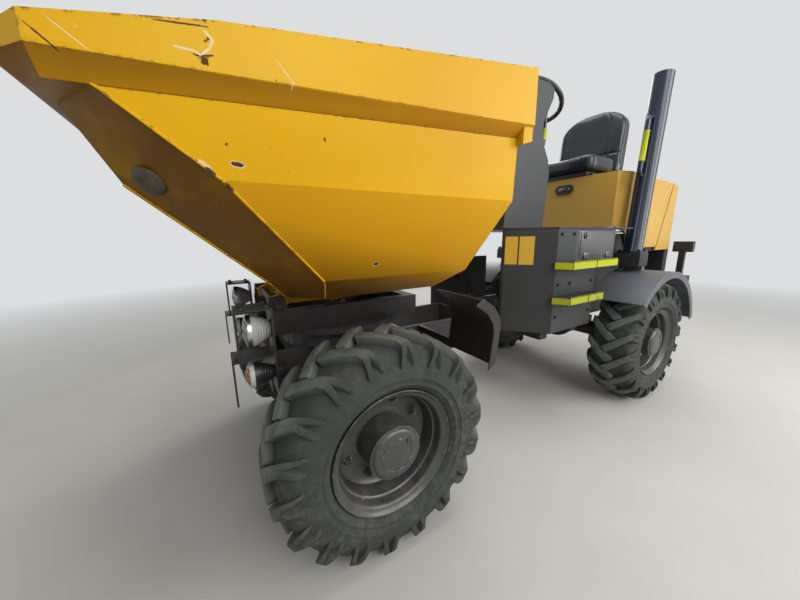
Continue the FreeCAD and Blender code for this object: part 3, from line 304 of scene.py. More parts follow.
def painted(name, base, deep, wear=1.0, dust=0.2, rough=0.4, chip=0.7, edge=0.005, scratch=(0.7, 0.6, 0.4),
            under=None, bare=RUST, marks=(), coat=0.05, specular=0.4):
    """Paint with a slow change of tone, a painted shade on faces that look down and a painted shade with
    grime on faces that look forward and down, dust that lies on top, strokes, chips and worn edges.
    """
    finish = Finish(name, rough, coat=coat, specular=specular)
    noise, times, plus, mix = finish.noise, finish.times, finish.plus, finish.mix
    layer = mix(noise(1.7, 0.3, 0.7, 2), deep, base)
    if under:
        belly_shade, front = under
        # painted shade: faces that look down take the belly colour, a deeper orange
        layer = mix(times(finish.toward((0, 0, -1), 0.25, 0.70), 0.55), layer, belly_shade)
        # painted shade and grime: faces that look forward and down take the front colour, blotched by noise
        grime_and_shade = times(finish.toward((0.6, 0, -0.8), 0.50, 0.76), noise(2.6, 0.0, 0.45, 6))
        layer = mix(times(grime_and_shade, 0.88), layer, front)
    settled = plus(0.35, times(finish.toward((0, 0, 1), 0.2, 0.9), 0.65))
    dirty = times(noise(21, 0.40, 0.72, 8, 0.7), times(settled, dust))
    layer = mix(dirty, layer, DUST)
    strokes = times(finish.lines(9, 0.0028, (0.35, 0.35, 2.4), (0.5, 0.3, 0.4)), noise(3.1, 0.58, 0.66))
    fine = times(finish.lines(30, 0.004, (0.12, 0.9, 1.6), (0.2, 0.5, 0.9)), noise(2.3, 0.54, 0.68))
    specks = times(noise(230, 0.70, 0.73, 2), noise(3.7, 0.52, 0.62))
    thin = plus(plus(strokes, fine), specks)
    layer = mix(times(thin, 0.42 * wear), layer, scratch)
    chipped = times(noise(38, chip, chip + 0.02, 6, 0.6), times(noise(2.6, 0.55, 0.62, 2), wear))
    worn = times(finish.edges(edge), noise(62, 0.53, 0.60, 6, 0.65))
    gone = plus(chipped, times(worn, wear))
    layer = mix(gone, layer, bare)
    if marks:
        ragged = times(noise(150, 0.3, 0.7, 5, 0.7), 0.5)
        for centre, size, lean, tint in marks:
            layer = mix(finish.spot(centre, size, lean, ragged), layer, tint)
    finish.color(layer)
    finish.rough(plus(dirty, gone), rough, 0.85)
    finish.bump(noise(420, 0.3, 0.7, 2), 0.08, 0.0005)
    return finish.material


PALE_SCAR = (0.70, 0.56, 0.30)
DARK_SCAR = (0.060, 0.028, 0.018)
NEAR_SIDE = 0.70
SCARS = [
    # the colour, the half width, and the line's points as (x, z) on the mouth band's near side
    (PALE_SCAR, 0.0017, [(1.4741, 1.4035), (1.4508, 1.4041), (1.4369, 1.4004), (1.4232, 1.4136),
                          (1.4166, 1.4279),
                         (1.4280, 1.4400)]),
    (DARK_SCAR, 0.0014, [(1.4350, 1.3990), (1.4190, 1.4035)]),
    (DARK_SCAR, 0.0012, [(1.4936, 1.4364), (1.4255, 1.4469)]),
    (DARK_SCAR, 0.0010, [(1.6520, 1.3860), (1.6220, 1.3580)]),
    (PALE_SCAR, 0.0008, [(1.6270, 1.3995), (1.5910, 1.3707)]),
    (PALE_SCAR, 0.0010, [(1.3050, 1.4200), (1.2800, 1.3900), (1.2850, 1.3700)]),
]
CHIPS = [
    # centre, half sizes, lean about Y, colour: blows from stones on the side and on its folded edge
    ((1.3963, 0.662, 1.2295), (0.0180, 0.02, 0.0078), -0.08, PALE_SCAR),
    ((1.3963, 0.662, 1.2298), (0.0150, 0.02, 0.0056), -0.08, DARK_SCAR),
    ((1.0236, 0.540, 0.9958), (0.0150, 0.03, 0.0076), 0.20, PALE_SCAR),
    ((1.0236, 0.540, 0.9962), (0.0118, 0.03, 0.0054), 0.20, DARK_SCAR),
    ((1.4540, 0.664, 1.2240), (0.0150, 0.01, 0.0050), -0.67, PALE_SCAR),
    ((1.4460, 0.662, 1.2120), (0.0160, 0.01, 0.0042), -0.67, DARK_SCAR),
    ((1.4180, 0.655, 1.1870), (0.0180, 0.012, 0.0048), -0.80, DARK_SCAR),
]


def scar_marks():
    """Turns each line of a scar into thin ellipsoids, one between every two points."""
    marks = []
    for tint, width, line in SCARS:
        for (x1, z1), (x2, z2) in zip(line, line[1:]):
            length = math.hypot(x2 - x1, z2 - z1) / 2
            middle = ((x1 + x2) / 2, NEAR_SIDE, (z1 + z2) / 2)
            size = (length * 1.5 + width, 0.01, width * 1.6)
            marks.append((middle, size, -math.atan2(z2 - z1, x2 - x1), tint))
    return marks


SKIP_MARKS = scar_marks() + CHIPS
print("marks on the skip:", len(SKIP_MARKS))

MATERIALS = {
    # slot or finish: name, colour, second colour, wear, dust, roughness, and what else differs
    # the skip's two under colours are painted shade: deeper orange on faces that look down, and dark brown,
    # partly grime, on faces that look forward and down
    "skip_yellow": painted(
        "skip_paint", (0.72, 0.405, 0.002), (0.66, 0.35, 0.002), 1.0, 0.05, 0.42, chip=0.665, edge=0.010,
        scratch=(0.72, 0.56, 0.28), under=((0.66, 0.27, 0.003), (0.095, 0.038, 0.006)), marks=SKIP_MARKS,
        coat=0.0, specular=0.18),
    "bonnet_yellow": painted("bonnet_paint", (0.62, 0.385, 0.085), (0.57, 0.34, 0.07), 0.35, 0.08, 0.42,
                             specular=0.25),
    "body_grey": painted("body_paint", (0.034, 0.036, 0.038), (0.028, 0.03, 0.031), 0.3, 0.08, 0.40,
                         scratch=(0.13, 0.13, 0.13)),
    "chassis_grey": painted("chassis_paint", (0.026, 0.025, 0.024), (0.018, 0.017, 0.016), 0.6, 0.16, 0.55,
                            scratch=(0.12, 0.11, 0.10)),
    "post_navy": painted("post_paint", (0.008, 0.017, 0.04), (0.007, 0.014, 0.033), 0.12, 0.02, 0.27,
                         scratch=(0.10, 0.11, 0.13), coat=0.0, specular=0.5),
    "rim_grey": painted("rim_paint", (0.052, 0.055, 0.054), (0.038, 0.04, 0.039), 0.9, 0.26, 0.33, edge=0.004,
                        scratch=(0.34, 0.34, 0.33), bare=(0.40, 0.38, 0.35), specular=0.6),
    "guard_black": painted("guard_paint", (0.015, 0.015, 0.016), (0.011, 0.011, 0.012), 0.4, 0.05, 0.50,
                           scratch=(0.14, 0.13, 0.12)),
    "step_paint": painted("step_paint", (0.02, 0.02, 0.021), (0.014, 0.014, 0.015), 0.7, 0.12, 0.55,
                          scratch=(0.2, 0.2, 0.2)),
    "steel_bare": painted("dusty_steel", (0.20, 0.17, 0.15), (0.14, 0.11, 0.10), 0.5, 0.25, 0.45),
    "engine_iron": painted("engine_iron", (0.03, 0.03, 0.032), (0.02, 0.02, 0.021), 0.4, 0.3, 0.6),
    "door_grey": painted("door_paint", (0.11, 0.108, 0.112), (0.09, 0.088, 0.092), 0.3, 0.14, 0.38,
                         scratch=(0.3, 0.3, 0.3)),
    "plate_yellow": painted("plate_film", (0.70, 0.44, 0.035), (0.66, 0.40, 0.03), 0.15, 0.06, 0.34),
    "grip_yellow": painted("grip_film", (0.50, 0.54, 0.008), (0.42, 0.45, 0.006), 0.8, 0.14, 0.50,
                           scratch=(0.05, 0.05, 0.04), bare=(0.02, 0.02, 0.02), specular=0.25),
    "grip_worn": painted("worn_grip_film", (0.44, 0.47, 0.01), (0.34, 0.36, 0.008), 1.0, 0.30, 0.55,
                         chip=0.46, edge=0.008, scratch=(0.04, 0.04, 0.03), bare=(0.022, 0.021, 0.02),
                         specular=0.25),
}
print("painted finishes:", len(MATERIALS))


# %% [markdown]
# ## Rubber, vinyl and plastic
# Tyres carry dried mud in their grooves and polish on their tops. The seat is a shiny
# vinyl with a fine grain. Plastics get a faint orange-peel bump so that light breaks up.

# %% Soft and moulded finishes
def tyre_rubber():
    """Dark in the grooves, brown with dust on the sidewall, grey-green where the ground polishes it."""
    finish = Finish("tyre_rubber", 0.75)
    polish = finish.add("Attribute", attribute_name="polish").outputs["Fac"]
    worn = finish.times(polish, finish.noise(14, 0.20, 0.55, 5))
    base = finish.mix(finish.noise(6, 0.3, 0.7), (0.029, 0.033, 0.03), (0.042, 0.046, 0.041))
    patches = finish.times(finish.noise(34, 0.44, 0.64, 8, 0.75), finish.noise(5, 0.34, 0.60, 3))
    dusty = finish.mix(finish.times(patches, 0.62), base, (0.125, 0.118, 0.095))
    finish.color(finish.mix(worn, dusty, (0.125, 0.138, 0.112)))
    finish.rough(worn, 0.88, 0.55)
    finish.bump(finish.noise(190, 0.3, 0.7, 6), 0.22, 0.0012)
    return finish.material


def vinyl():
    finish = Finish("seat_vinyl", 0.31, coat=0.14)
    finish.color(finish.mix(finish.noise(9, 0.45, 0.65, 6), (0.009, 0.012, 0.02), (0.018, 0.022, 0.034)))
    grain = finish.add("TexVoronoi", {"Vector": finish.place, "Scale": 700})
    finish.bump(grain.outputs["Distance"], 0.10, 0.0005)
    return finish.material


def plastic(name, base, rough, dusty):
    finish = Finish(name, rough)
    dust = finish.times(finish.noise(24, 0.42, 0.70, 8, 0.7), dusty)
    finish.color(finish.mix(dust, base, DUST))
    finish.rough(dust, rough, 0.85)
    finish.bump(finish.noise(300, 0.3, 0.7, 3), 0.12, 0.0006)
    return finish.material


def lens(name, tint):
    """A moulded lens: a coat of gloss over fine upright ribs."""
    finish = Finish(name, 0.12, coat=0.8)
    ribs = finish.add("TexWave", {"Vector": finish.place, "Scale": 55}, bands_direction="Y").outputs["Fac"]
    finish.color(finish.mix(ribs, tint, darker(tint, 0.7)))
    finish.bump(ribs, 0.5, 0.0012)
    return finish.material


def bright_metal(name, base, rough):
    finish = Finish(name, rough, metallic=1.0)
    finish.color(finish.mix(finish.noise(60, 0.4, 0.7, 6), base, darker(base, 0.6)))
    finish.bump(finish.noise(500, 0.3, 0.7, 2), 0.05, 0.0003)
    return finish.material


LOOKS = [
    # how it is made, then each finish with its colour, and its roughness and dust where they count
    (plastic, {"black_plastic": ((0.018, 0.018, 0.019), 0.42, 0.08),
               "cheek_plastic": ((0.017, 0.021, 0.0208), 0.50, 0.04),
               "guard_plastic": ((0.10, 0.112, 0.13), 0.42, 0.10),
               "bowl_grey": ((0.34, 0.34, 0.33), 0.45, 0.30), "rim_white": ((0.55, 0.54, 0.50), 0.35, 0.20),
               "bung_rubber": ((0.045, 0.033, 0.018), 0.60, 0.35),
               "hose_rubber": ((0.014, 0.014, 0.014), 0.55, 0.12)}),
    (bright_metal, {"rim_chrome": ((0.55, 0.55, 0.54), 0.28), "door_lock": ((0.20, 0.20, 0.20), 0.40)}),
    (lens, {"lamp_clear": ((0.46, 0.46, 0.45),), "lamp_amber": ((0.62, 0.15, 0.008),),
            "lamp_red": ((0.40, 0.012, 0.008),)}),
]
MATERIALS.update(tyre_rubber=tyre_rubber(), seat_vinyl=vinyl())
for make, rows in LOOKS:
    MATERIALS.update({name: make(name, *look) for name, look in rows.items()})
print("finishes:", len(MATERIALS))


# %% [markdown]
# ## The floor
# The floor is one large plain square. It is marked as stage, so it never counts as a
# part of the machine, and it keeps the soft shadow that sets the machine on the ground.
# Far out it turns into the backdrop's own colour, as a studio's curved paper does.

# %% Floor
FLOOR_SIZE = 30
FADE = (3.0, 8.0)


def make_floor():
    mesh = bmesh.new()
    bmesh.ops.create_grid(mesh, x_segments=1, y_segments=1, size=FLOOR_SIZE)
    data = bpy.data.meshes.new("floor")
    mesh.to_mesh(data)
    mesh.free()
    floor = bpy.data.objects.new("floor", data)
    bpy.context.scene.collection.objects.link(floor)
    finish = Finish("pale_floor", 0.85)
    finish.color(finish.mix(finish.noise(3, 0.3, 0.7, 6), FLOOR_COLOR, darker(FLOOR_COLOR, 0.94)))
    distance = finish.vector("LENGTH", finish.place)
    far = finish.times(finish.ramp(distance, *FADE), seen_ray(finish.tree))
    glow = finish.add("Emission", {"Color": BACKDROP_COLOR})
    blend = finish.add("MixShader", {0: far, 1: finish.shader.outputs[0], 2: glow.outputs[0]})
    finish.tree.links.new(blend.outputs[0], finish.out.inputs[0])
    data.materials.append(finish.material)
    floor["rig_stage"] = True


make_floor()
print("floor reaches", FLOOR_SIZE, "m each way")

# %% [markdown]
# ## Turning a bmesh into a piece
# Every piece that is modelled here is one closed mesh or several. Its doubled points are
# merged, its faces are turned outwards, and it rides on the body that carries it. Curved
# faces are shaded smooth and only real corners stay sharp.

# %% Finish a piece
SMOOTH_ANGLE = math.radians(32)
MERGE = 1e-6
record_slots = {row["node"]: row["material_slot"] for row in frame["record"]["subparts"]}
body_of_node = {name: nodes[name]["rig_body"] for name in nodes}


def finish_piece(name, mesh, carrier, slot, finish=None, angle=SMOOTH_ANGLE, turn_out=True):
    """Makes an object from a bmesh, gives it its finish and lets it ride with a node, or on a body."""
    if turn_out:
        bmesh.ops.remove_doubles(mesh, verts=mesh.verts, dist=MERGE)
        bmesh.ops.recalc_face_normals(mesh, faces=mesh.faces)
    data = bpy.data.meshes.new(name)
    mesh.to_mesh(data)
    mesh.free()
    piece = bpy.data.objects.new(name, data)
    bpy.context.scene.collection.objects.link(piece)
    data.materials.append(MATERIALS[finish or slot])
    for face in data.polygons:
        face.use_smooth = True
    data.set_sharp_from_angle(angle=angle)
    body = body_of_node.get(carrier, carrier)
    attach(piece, body)
    return piece


print("nodes with a slot:", len(record_slots))

# %% [markdown]
# ## Three ways to make a shape
# Most metal parts are turned, cut from plate or bolted on. So there is a lathe, which
# spins an outline, a plate, which extrudes one, and a bolt head on its washer. Places are
# written in millimetres from the pivot's foot, as on the maker's drawing.

# %% Shaping helpers
PIVOT_SHIFT = 0.069


def at(x, y, z):
    """A drawing place in millimetres as a scene place in metres."""
    return Vector((x / 1000 + PIVOT_SHIFT, y / 1000, z / 1000))


def facing(place, direction):
    """A matrix that stands a shape's own Z axis along a direction."""
    turn = Vector(direction).to_track_quat("Z", "Y").to_matrix().to_4x4()
    return Matrix.Translation(place) @ turn


def lathe(mesh, profile, middle, axis, steps=40, closed=False):
    """Spins a row of (distance along the axis, radius) right round the axis."""
    axis = Vector(axis).normalized()
    side = axis.orthogonal().normalized()
    row = [mesh.verts.new(Vector(middle) + axis * along + side * radius) for along, radius in profile]
    pairs = list(zip(row, row[1:])) + ([(row[-1], row[0])] if closed else [])
    edges = [mesh.edges.new(pair) for pair in pairs]
    bmesh.ops.spin(mesh, geom=row + edges, cent=middle, axis=axis, angle=math.tau, steps=steps,
                   use_merge=True)


def plate(mesh, outline, along, rounding=0.0, segments=2):
    """Extrudes an outline's face by a vector and rounds all its edges."""
    row = [mesh.verts.new(point) for point in outline]
    grown = bmesh.ops.extrude_face_region(mesh, geom=[mesh.faces.new(row)])
    top = [item for item in grown["geom"] if isinstance(item, bmesh.types.BMVert)]
    bmesh.ops.translate(mesh, verts=top, vec=Vector(along))
    if rounding:
        edges = list({edge for vert in row + top for edge in vert.link_edges})
        bmesh.ops.bevel(mesh, geom=edges, offset=rounding, affect="EDGES", segments=segments, profile=0.5,
                        material=-1)


BOLT_TIERS = [
    # sides, foot and top radius, start and height, all as shares of the bolt's size: washer and head
    (24, 1.5, 1.45, 0.0, 0.3), (6, 1.0, 0.9, 0.3, 0.8),
]


def bolt(mesh, place, direction, size):
    """A hexagon head on a round washer."""
    seat = facing(place, direction)
    for segments, low, high, start, depth in BOLT_TIERS:
        lift = Matrix.Translation((0, 0, size * (start + depth / 2)))
        bmesh.ops.create_cone(mesh, cap_ends=True, segments=segments, radius1=size * low, radius2=size * high,
                              depth=size * depth, matrix=seat @ lift)


print("drawing origin in the scene:", at(0, 0, 0))

# %% [markdown]
# ## Dressing the CAD nodes
# A solid modeller leaves knife-sharp edges, and real sheet metal has none: a folded or
# cut edge always catches a line of light. Each rigid node is copied, its triangles are
# merged into whole faces, and a narrow live bevel rounds the edges. A face that isn't
# convex is split again, because a bevel would close a ring-shaped face into a lid.

# %% Copy nodes with softened edges
FLAT_ANGLE = math.radians(1)
CORNER_ANGLE = math.radians(30)
CORNER_STEPS = 2


def softened(name, width, finish=None, cuts=()):
    """A copy of a node with its edges rounded. A cut is a (place, direction) that trims it."""
    mesh = bmesh.new()
    mesh.from_mesh(nodes[name].data)
    bmesh.ops.remove_doubles(mesh, verts=mesh.verts, dist=MERGE)
    bmesh.ops.dissolve_limit(mesh, angle_limit=FLAT_ANGLE, verts=mesh.verts, edges=mesh.edges)
    bmesh.ops.connect_verts_concave(mesh, faces=mesh.faces)
    for place, direction in cuts:
        bmesh.ops.bisect_plane(mesh, geom=mesh.verts[:] + mesh.edges[:] + mesh.faces[:], plane_co=place,
                               plane_no=direction, clear_outer=True)
        bmesh.ops.holes_fill(mesh, edges=[edge for edge in mesh.edges if edge.is_boundary])
    piece = finish_piece(name + "_dressed", mesh, name, record_slots[name], finish, turn_out=False)
    bevel = piece.modifiers.new("edges", "BEVEL")
    bevel.width = width
    bevel.segments = CORNER_STEPS
    bevel.limit_method = "ANGLE"
    bevel.angle_limit = CORNER_ANGLE
    bevel.harden_normals = True
    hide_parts(name)


for name, node in nodes.items():
    node.data.materials.clear()
    node.data.materials.append(MATERIALS[record_slots[name]])

EDGE_WIDTH = {
    # node: how wide its rounded edges are, in metres
    "skip": 0.004, "skip_underframe": 0.002, "bonnet": 0.006, "rear_cowl": 0.006, "console": 0.012,
    "side_tank_left": 0.005, "side_tank_right": 0.005, "battery_box": 0.003, "deck_plate": 0.002,
    "steps": 0.0012, "turntable": 0.004, "slew_pedestal": 0.002, "front_frame": 0.002, "rear_frame": 0.002,
    "rear_bumper": 0.004, "front_mudguards": 0.003, "lamp_brackets": 0.001, "roll_bar_posts": 0.003,
    "bonnet_latch": 0.004, "radiator_grille": 0.0015, "engine_block": 0.006, "seat_base": 0.004,
    "pedals": 0.0015, "steering_column": 0.003, "rear_lamps": 0.003, "front_axle": 0.004, "rear_axle": 0.004,
}
OTHER_FINISH = {"console": "cheek_plastic", "battery_box": "door_grey", "lamp_brackets": "guard_black"}
for name, width in EDGE_WIDTH.items():
    softened(name, width, OTHER_FINISH.get(name))
print("softened nodes:", len(EDGE_WIDTH))

# %% [markdown]
# ## The rear mudguards
# On the real machine these are short plastic arches that leave most of the tread bare,
# and years of stones have shortened them. The node's copy is trimmed at both ends by a
# plane through the axle, and each cut end is closed again.

# %% Trim the rear mudguards
ARCH_FRONT = math.radians(50)
ARCH_REAR = math.radians(76)
arch_middle = at(-973, 0, 392)
softened("rear_mudguards", 0.003, "guard_plastic",
         [(arch_middle, (math.cos(ARCH_FRONT), 0, -math.sin(ARCH_FRONT))),
          (arch_middle, (-math.cos(ARCH_REAR), 0, -math.sin(ARCH_REAR)))])
print("mudguards reach forward by", round(math.degrees(ARCH_FRONT)), "degrees from the top")

# %% [markdown]
# ## The tyres' casings
# A dumper's tyre has a tall soft sidewall and a rounded shoulder, with a raised ring that
# guards the rim. That is a turned shape, so half of its section is spun about the axle.
# The bevel between ring and sidewall is what the light picks out in the picture.

# %% Tyre casing
WHEELS = {
    # wheel: (axle, side)
    "front_left": (960, 1), "front_right": (960, -1), "rear_left": (-973, 1), "rear_right": (-973, -1),
}
TYRE_RADIUS = 0.392
TRACK_HALF = 552
LUG_COUNT = 18
CASING_HALF = [
    # out from the middle, radius
    (0.000, 0.3620), (0.050, 0.3605), (0.085, 0.3560), (0.104, 0.3470), (0.1130, 0.3330), (0.1190, 0.3150),
    (0.1250, 0.2960), (0.1300, 0.2780), (0.1285, 0.2640), (0.1292, 0.2625), (0.1280, 0.2605),
    (0.1262, 0.2600), (0.1225, 0.2480), (0.1240, 0.2440), (0.1238, 0.2385), (0.1205, 0.2355),
    (0.1150, 0.2285), (0.1085, 0.2225), (0.1030, 0.2185), (0.0990, 0.2130), (0.0965, 0.2050),
    (0.0950, 0.1950),
]


def wheel_centre(axle, side):
    return at(axle, side * TRACK_HALF, TYRE_RADIUS * 1000)


def spun_casing(mesh):
    section = [(-out, radius) for out, radius in reversed(CASING_HALF[1:])] + CASING_HALF
    lathe(mesh, section, (0, 0, 0), (0, 1, 0), steps=90, closed=True)


print("wheels at", [tuple(round(v, 3) for v in wheel_centre(*place)) for place in WHEELS.values()])

# %% [markdown]
# ## The lugs
# The tread is two rows of curved bars that meet in arrows. Each bar runs from the tread's
# middle over the shoulder and ends in two prongs with a pocket between them. It is drawn
# flat as an outline, extruded, rounded and cut across, and then every point is laid on
# the casing. Drawing it flat keeps the curve easy to read and to change.

# %% One lug, flat and then wrapped
LUG_OUTLINE = [
    # along the tread, out from its middle, in millimetres
    (-83, 4), (-50, 40), (-14, 79), (8, 103), (18, 122), (16, 150), (11, 176), (14, 184), (23, 186),
    (29, 180), (33, 155), (41, 124), (56, 148), (66, 170), (72, 177), (80, 174), (82, 165), (74, 143),
    (62, 118), (42, 91), (22, 66), (1, 39), (-26, 6), (-55, -30), (-64, -31), (-84, -6),
]
LUG_HEIGHT = 34.0
LUG_ROUNDING = 3.2
LUG_CUTS = range(-15, 180, 12)
LUG_PATH = [
    # out along the outline, then the lug's top and its foot, each as (out, radius) in millimetres
    (-40, (-40, 390.0), (-40, 350.0)), (0, (0, 390.5), (0, 350.0)), (45, (45, 389.5), (45, 350.0)),
    (85, (85, 386.5), (83, 346.0)), (105, (104, 381.0), (97, 340.0)), (120, (116.5, 370.5), (107, 331.0)),
    (135, (125.5, 355.0), (114, 320.0)), (155, (130.6, 334.0), (119, 308.0)),
    (175, (131.6, 314.0), (123, 298.0)), (195, (131.0, 296.0), (126, 288.0)),
]


def on_path(out):
    """The lug's top and foot at a distance out, between the path's stations."""
    for (near, top_a, foot_a), (far, top_b, foot_b) in zip(LUG_PATH, LUG_PATH[1:]):
        if out <= far:
            break
    share = (out - near) / (far - near)
    return Vector(top_a).lerp(Vector(top_b), share), Vector(foot_a).lerp(Vector(foot_b), share)


def flat_lug():
    """The outline grown to its height, rounded on top and cut across so that it can bend."""
    mesh = bmesh.new()
    plate(mesh, [(along, out, 0) for along, out in LUG_OUTLINE], (0, 0, LUG_HEIGHT))
    bmesh.ops.recalc_face_normals(mesh, faces=mesh.faces)
    rim = [edge for edge in mesh.edges if all(vert.co.z > LUG_HEIGHT / 2 for vert in edge.verts)]
    bmesh.ops.bevel(mesh, geom=rim, offset=LUG_ROUNDING, affect="EDGES", segments=2, profile=0.5, material=-1)
    for out in LUG_CUTS:
        bmesh.ops.bisect_plane(mesh, geom=mesh.verts[:] + mesh.edges[:] + mesh.faces[:],
                               plane_co=(0, out, 0), plane_no=(0, 1, 0))
    return mesh


def wrap_lug(mesh):
    """Lays the flat lug on the tyre: along becomes a turn, and height runs from foot to top."""
    for vert in mesh.verts:
        along, out, height = vert.co
        top, foot = on_path(out)
        spot = foot.lerp(top, height / LUG_HEIGHT) / 1000
        turn = -(along / 1000) / TYRE_RADIUS
        vert.co = (spot.y * math.sin(turn), spot.x, spot.y * math.cos(turn))


print("points in a lug's outline:", len(LUG_OUTLINE))

# %% [markdown]
# ## Whole tyres
# One lug is copied round the tyre, once for each side of the tread and half a pitch
# apart. Each point also stores how far out it stands, because the tops are polished by
# the ground and the grooves between them stay dark.

# %% Tyres
POLISH_FOOT = 0.366
POLISH_DEPTH = 0.020


def whole_tyre():
    mesh = bmesh.new()
    spun_casing(mesh)
    lug = flat_lug()
    wrap_lug(lug)
    stamp = bpy.data.meshes.new("lug_stamp")
    lug.to_mesh(stamp)
    lug.free()
    for index in range(LUG_COUNT):
        for side, offset in ((1, 0.0), (-1, 0.5)):
            before = set(mesh.verts)
            mesh.from_mesh(stamp)
            fresh = [vert for vert in mesh.verts if vert not in before]
            bmesh.ops.scale(mesh, verts=fresh, vec=(1, side, 1))
            turn = Matrix.Rotation(math.tau * (index + offset) / LUG_COUNT, 3, "Y")
            bmesh.ops.rotate(mesh, verts=fresh, cent=(0, 0, 0), matrix=turn)
    bpy.data.meshes.remove(stamp)
    bmesh.ops.recalc_face_normals(mesh, faces=mesh.faces)
    polish = mesh.verts.layers.float.new("polish")
    for vert in mesh.verts:
        vert[polish] = min(1.0, max(0.0, (math.hypot(vert.co.x, vert.co.z) - POLISH_FOOT) / POLISH_DEPTH))
    pattern = bpy.data.meshes.new("tyre_pattern")
    mesh.to_mesh(pattern)
    mesh.free()
    return pattern


tyre_pattern = whole_tyre()
for wheel, (axle, side) in WHEELS.items():
    mesh = bmesh.new()
    mesh.from_mesh(tyre_pattern)
    bmesh.ops.scale(mesh, verts=mesh.verts, vec=(1, side, 1))
    bmesh.ops.translate(mesh, verts=mesh.verts, vec=wheel_centre(axle, side))
    tyre = finish_piece("lugged_tyre_" + wheel, mesh, "wheel_" + wheel, "tyre_rubber")
    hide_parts("tyre_" + wheel)
print("triangles in one tyre:", sum(len(face.vertices) - 2 for face in tyre.data.polygons))

# %% [markdown]
# ## Rims and hubs
# A rim is rolled from one strip, so it is spun here from one outline: thin rolled flanges,
# a barrel that catches the light, a dished disc and the hub's cover. The nuts, the joint
# ring, the socket screws, the drain plug and the valve are turned or bolted on.

# %% Rims and hub details
RIM_DISH = [
    # out from the wheel's middle, radius: hub cover, disc and barrel on the seen side
    (0.1180, 0.0000), (0.1180, 0.0740), (0.1160, 0.0800), (0.1090, 0.0865), (0.1000, 0.0885),
    (0.0020, 0.0900), (-0.0040, 0.0950), (-0.0080, 0.1100), (-0.0060, 0.1400), (0.0020, 0.1660),
    (0.0100, 0.1740), (0.0300, 0.1765), (0.0560, 0.1780), (0.0620, 0.1800), (0.0660, 0.1850),
    (0.0740, 0.1875), (0.0880, 0.1890),
]
RIM_FLANGE = [
    (0.0950, 0.1905), (0.0990, 0.1940), (0.1015, 0.1990), (0.1045, 0.2045), (0.1090, 0.2090),
    (0.1130, 0.2120), (0.1138, 0.2140), (0.1125, 0.2155), (0.1100, 0.2150), (0.1055, 0.2125),
    (0.1005, 0.2070), (0.0975, 0.2005), (0.0952, 0.1945),
]
RIM_BACK = [
    (-0.0920, 0.1860), (-0.0100, 0.1780), (-0.0160, 0.1650), (-0.0200, 0.1400), (-0.0210, 0.1100),
    (-0.0200, 0.0900), (-0.0320, 0.0900), (-0.0320, 0.0401), (0.0380, 0.0401), (0.0380, 0.0000),
]
RIM_OUTLINE = RIM_DISH + RIM_FLANGE + [(-out, radius) for out, radius in reversed(RIM_FLANGE)] + RIM_BACK
NUT_COUNT = 8
NUT_CIRCLE = 0.138
NUT_FACE = -0.0062
NUT_SUNK = 0.003
NUT_TIERS = [(24, 0.0165, 0.003), (6, 0.0135, 0.016), (16, 0.0075, 0.026)]  # sides, radius, top
HUB_FACE = 0.118
FACE_RINGS = [
    # turned about the wheel's own axis, as (out from the hub's face, radius): joint ring and centre ring
    [(-0.022, 0.087), (-0.018, 0.0925), (-0.012, 0.0925), (-0.010, 0.086)],
    [(-0.002, 0.058), (0.0015, 0.057), (0.0015, 0.054), (-0.002, 0.053)],
]
SOCKET_SCREW = [(-0.002, 0.0), (0.002, 0.0), (0.002, 0.0055), (0.0005, 0.0065), (-0.002, 0.0065)]
DRAIN_PLUG = [(-0.002, 0.0), (0.0005, 0.0), (0.0005, 0.006), (0.004, 0.0075), (0.004, 0.011), (-0.002, 0.012)]
VALVE = [(-0.020, 0.0), (-0.030, 0.006), (0.012, 0.005), (0.014, 0.0065), (0.030, 0.0065), (0.032, 0.0)]


def round_the_face(turn, radius):
    return Vector((math.cos(turn), 0, math.sin(turn))) * radius


def spun_rim(axle, side):
    mesh = bmesh.new()
    out = Vector((0, side, 0))
    centre = wheel_centre(axle, side)
    lathe(mesh, RIM_OUTLINE, centre, out, 72)
    for index in range(NUT_COUNT):
        foot = centre + out * NUT_FACE + round_the_face(math.tau * (index + 0.5) / NUT_COUNT, NUT_CIRCLE)
        for segments, radius, top in NUT_TIERS:
            lift = Matrix.Translation((0, 0, (top - NUT_SUNK) / 2))
            bmesh.ops.create_cone(mesh, cap_ends=True, segments=segments, radius1=radius,
                                  radius2=radius * 0.93, depth=top + NUT_SUNK,
                                  matrix=facing(foot, out) @ lift)
    return mesh


def hub_details(axle, side):
    mesh = bmesh.new()
    out = Vector((0, side, 0))
    centre = wheel_centre(axle, side)
    face = centre + out * HUB_FACE
    for ring in FACE_RINGS:
        lathe(mesh, ring, face, out, 48, closed=True)
    for index in range(3):
        lathe(mesh, SOCKET_SCREW, face + round_the_face(math.tau * index / 3 + 0.5, 0.066), out, 16)
    lathe(mesh, DRAIN_PLUG, face + Vector((-0.045, 0, 0.038)), out, 20)
    lathe(mesh, VALVE, centre + out * 0.020 + Vector((0.146, 0, 0.088)), out, 16)
    return mesh


for wheel, (axle, side) in WHEELS.items():
    rim = finish_piece("rolled_rim_" + wheel, spun_rim(axle, side), "wheel_" + wheel, "rim_grey")
    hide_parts("rim_" + wheel)
    finish_piece("hub_details_" + wheel, hub_details(axle, side), "wheel_" + wheel, "rim_grey")
print("wheels dressed:", len(WHEELS))

# %% [markdown]
# ## The driver's seat
# The seat is two foam pads in shiny black vinyl. A pad is tight at its seams and swells
# between them, which is what cloth does when it is blown up. So each pad starts a little
# small, is simulated with a light pressure, and then has its seams pressed in.

# %% Blow up the seat pads
VOXEL = 0.0075
PAD_FRAMES = 8
PAD_PRESSURE = 1.6
PAD_REACH = 0.012
PAD_SMOOTHING = 34
PAD_ROOM = 0.001


def baked(piece):
    """Applies a piece's modifiers to its mesh."""
    bpy.context.view_layer.update()
    shape = piece.evaluated_get(bpy.context.evaluated_depsgraph_get())
    data = bpy.data.meshes.new_from_object(shape)
    piece.modifiers.clear()
    piece.data = data


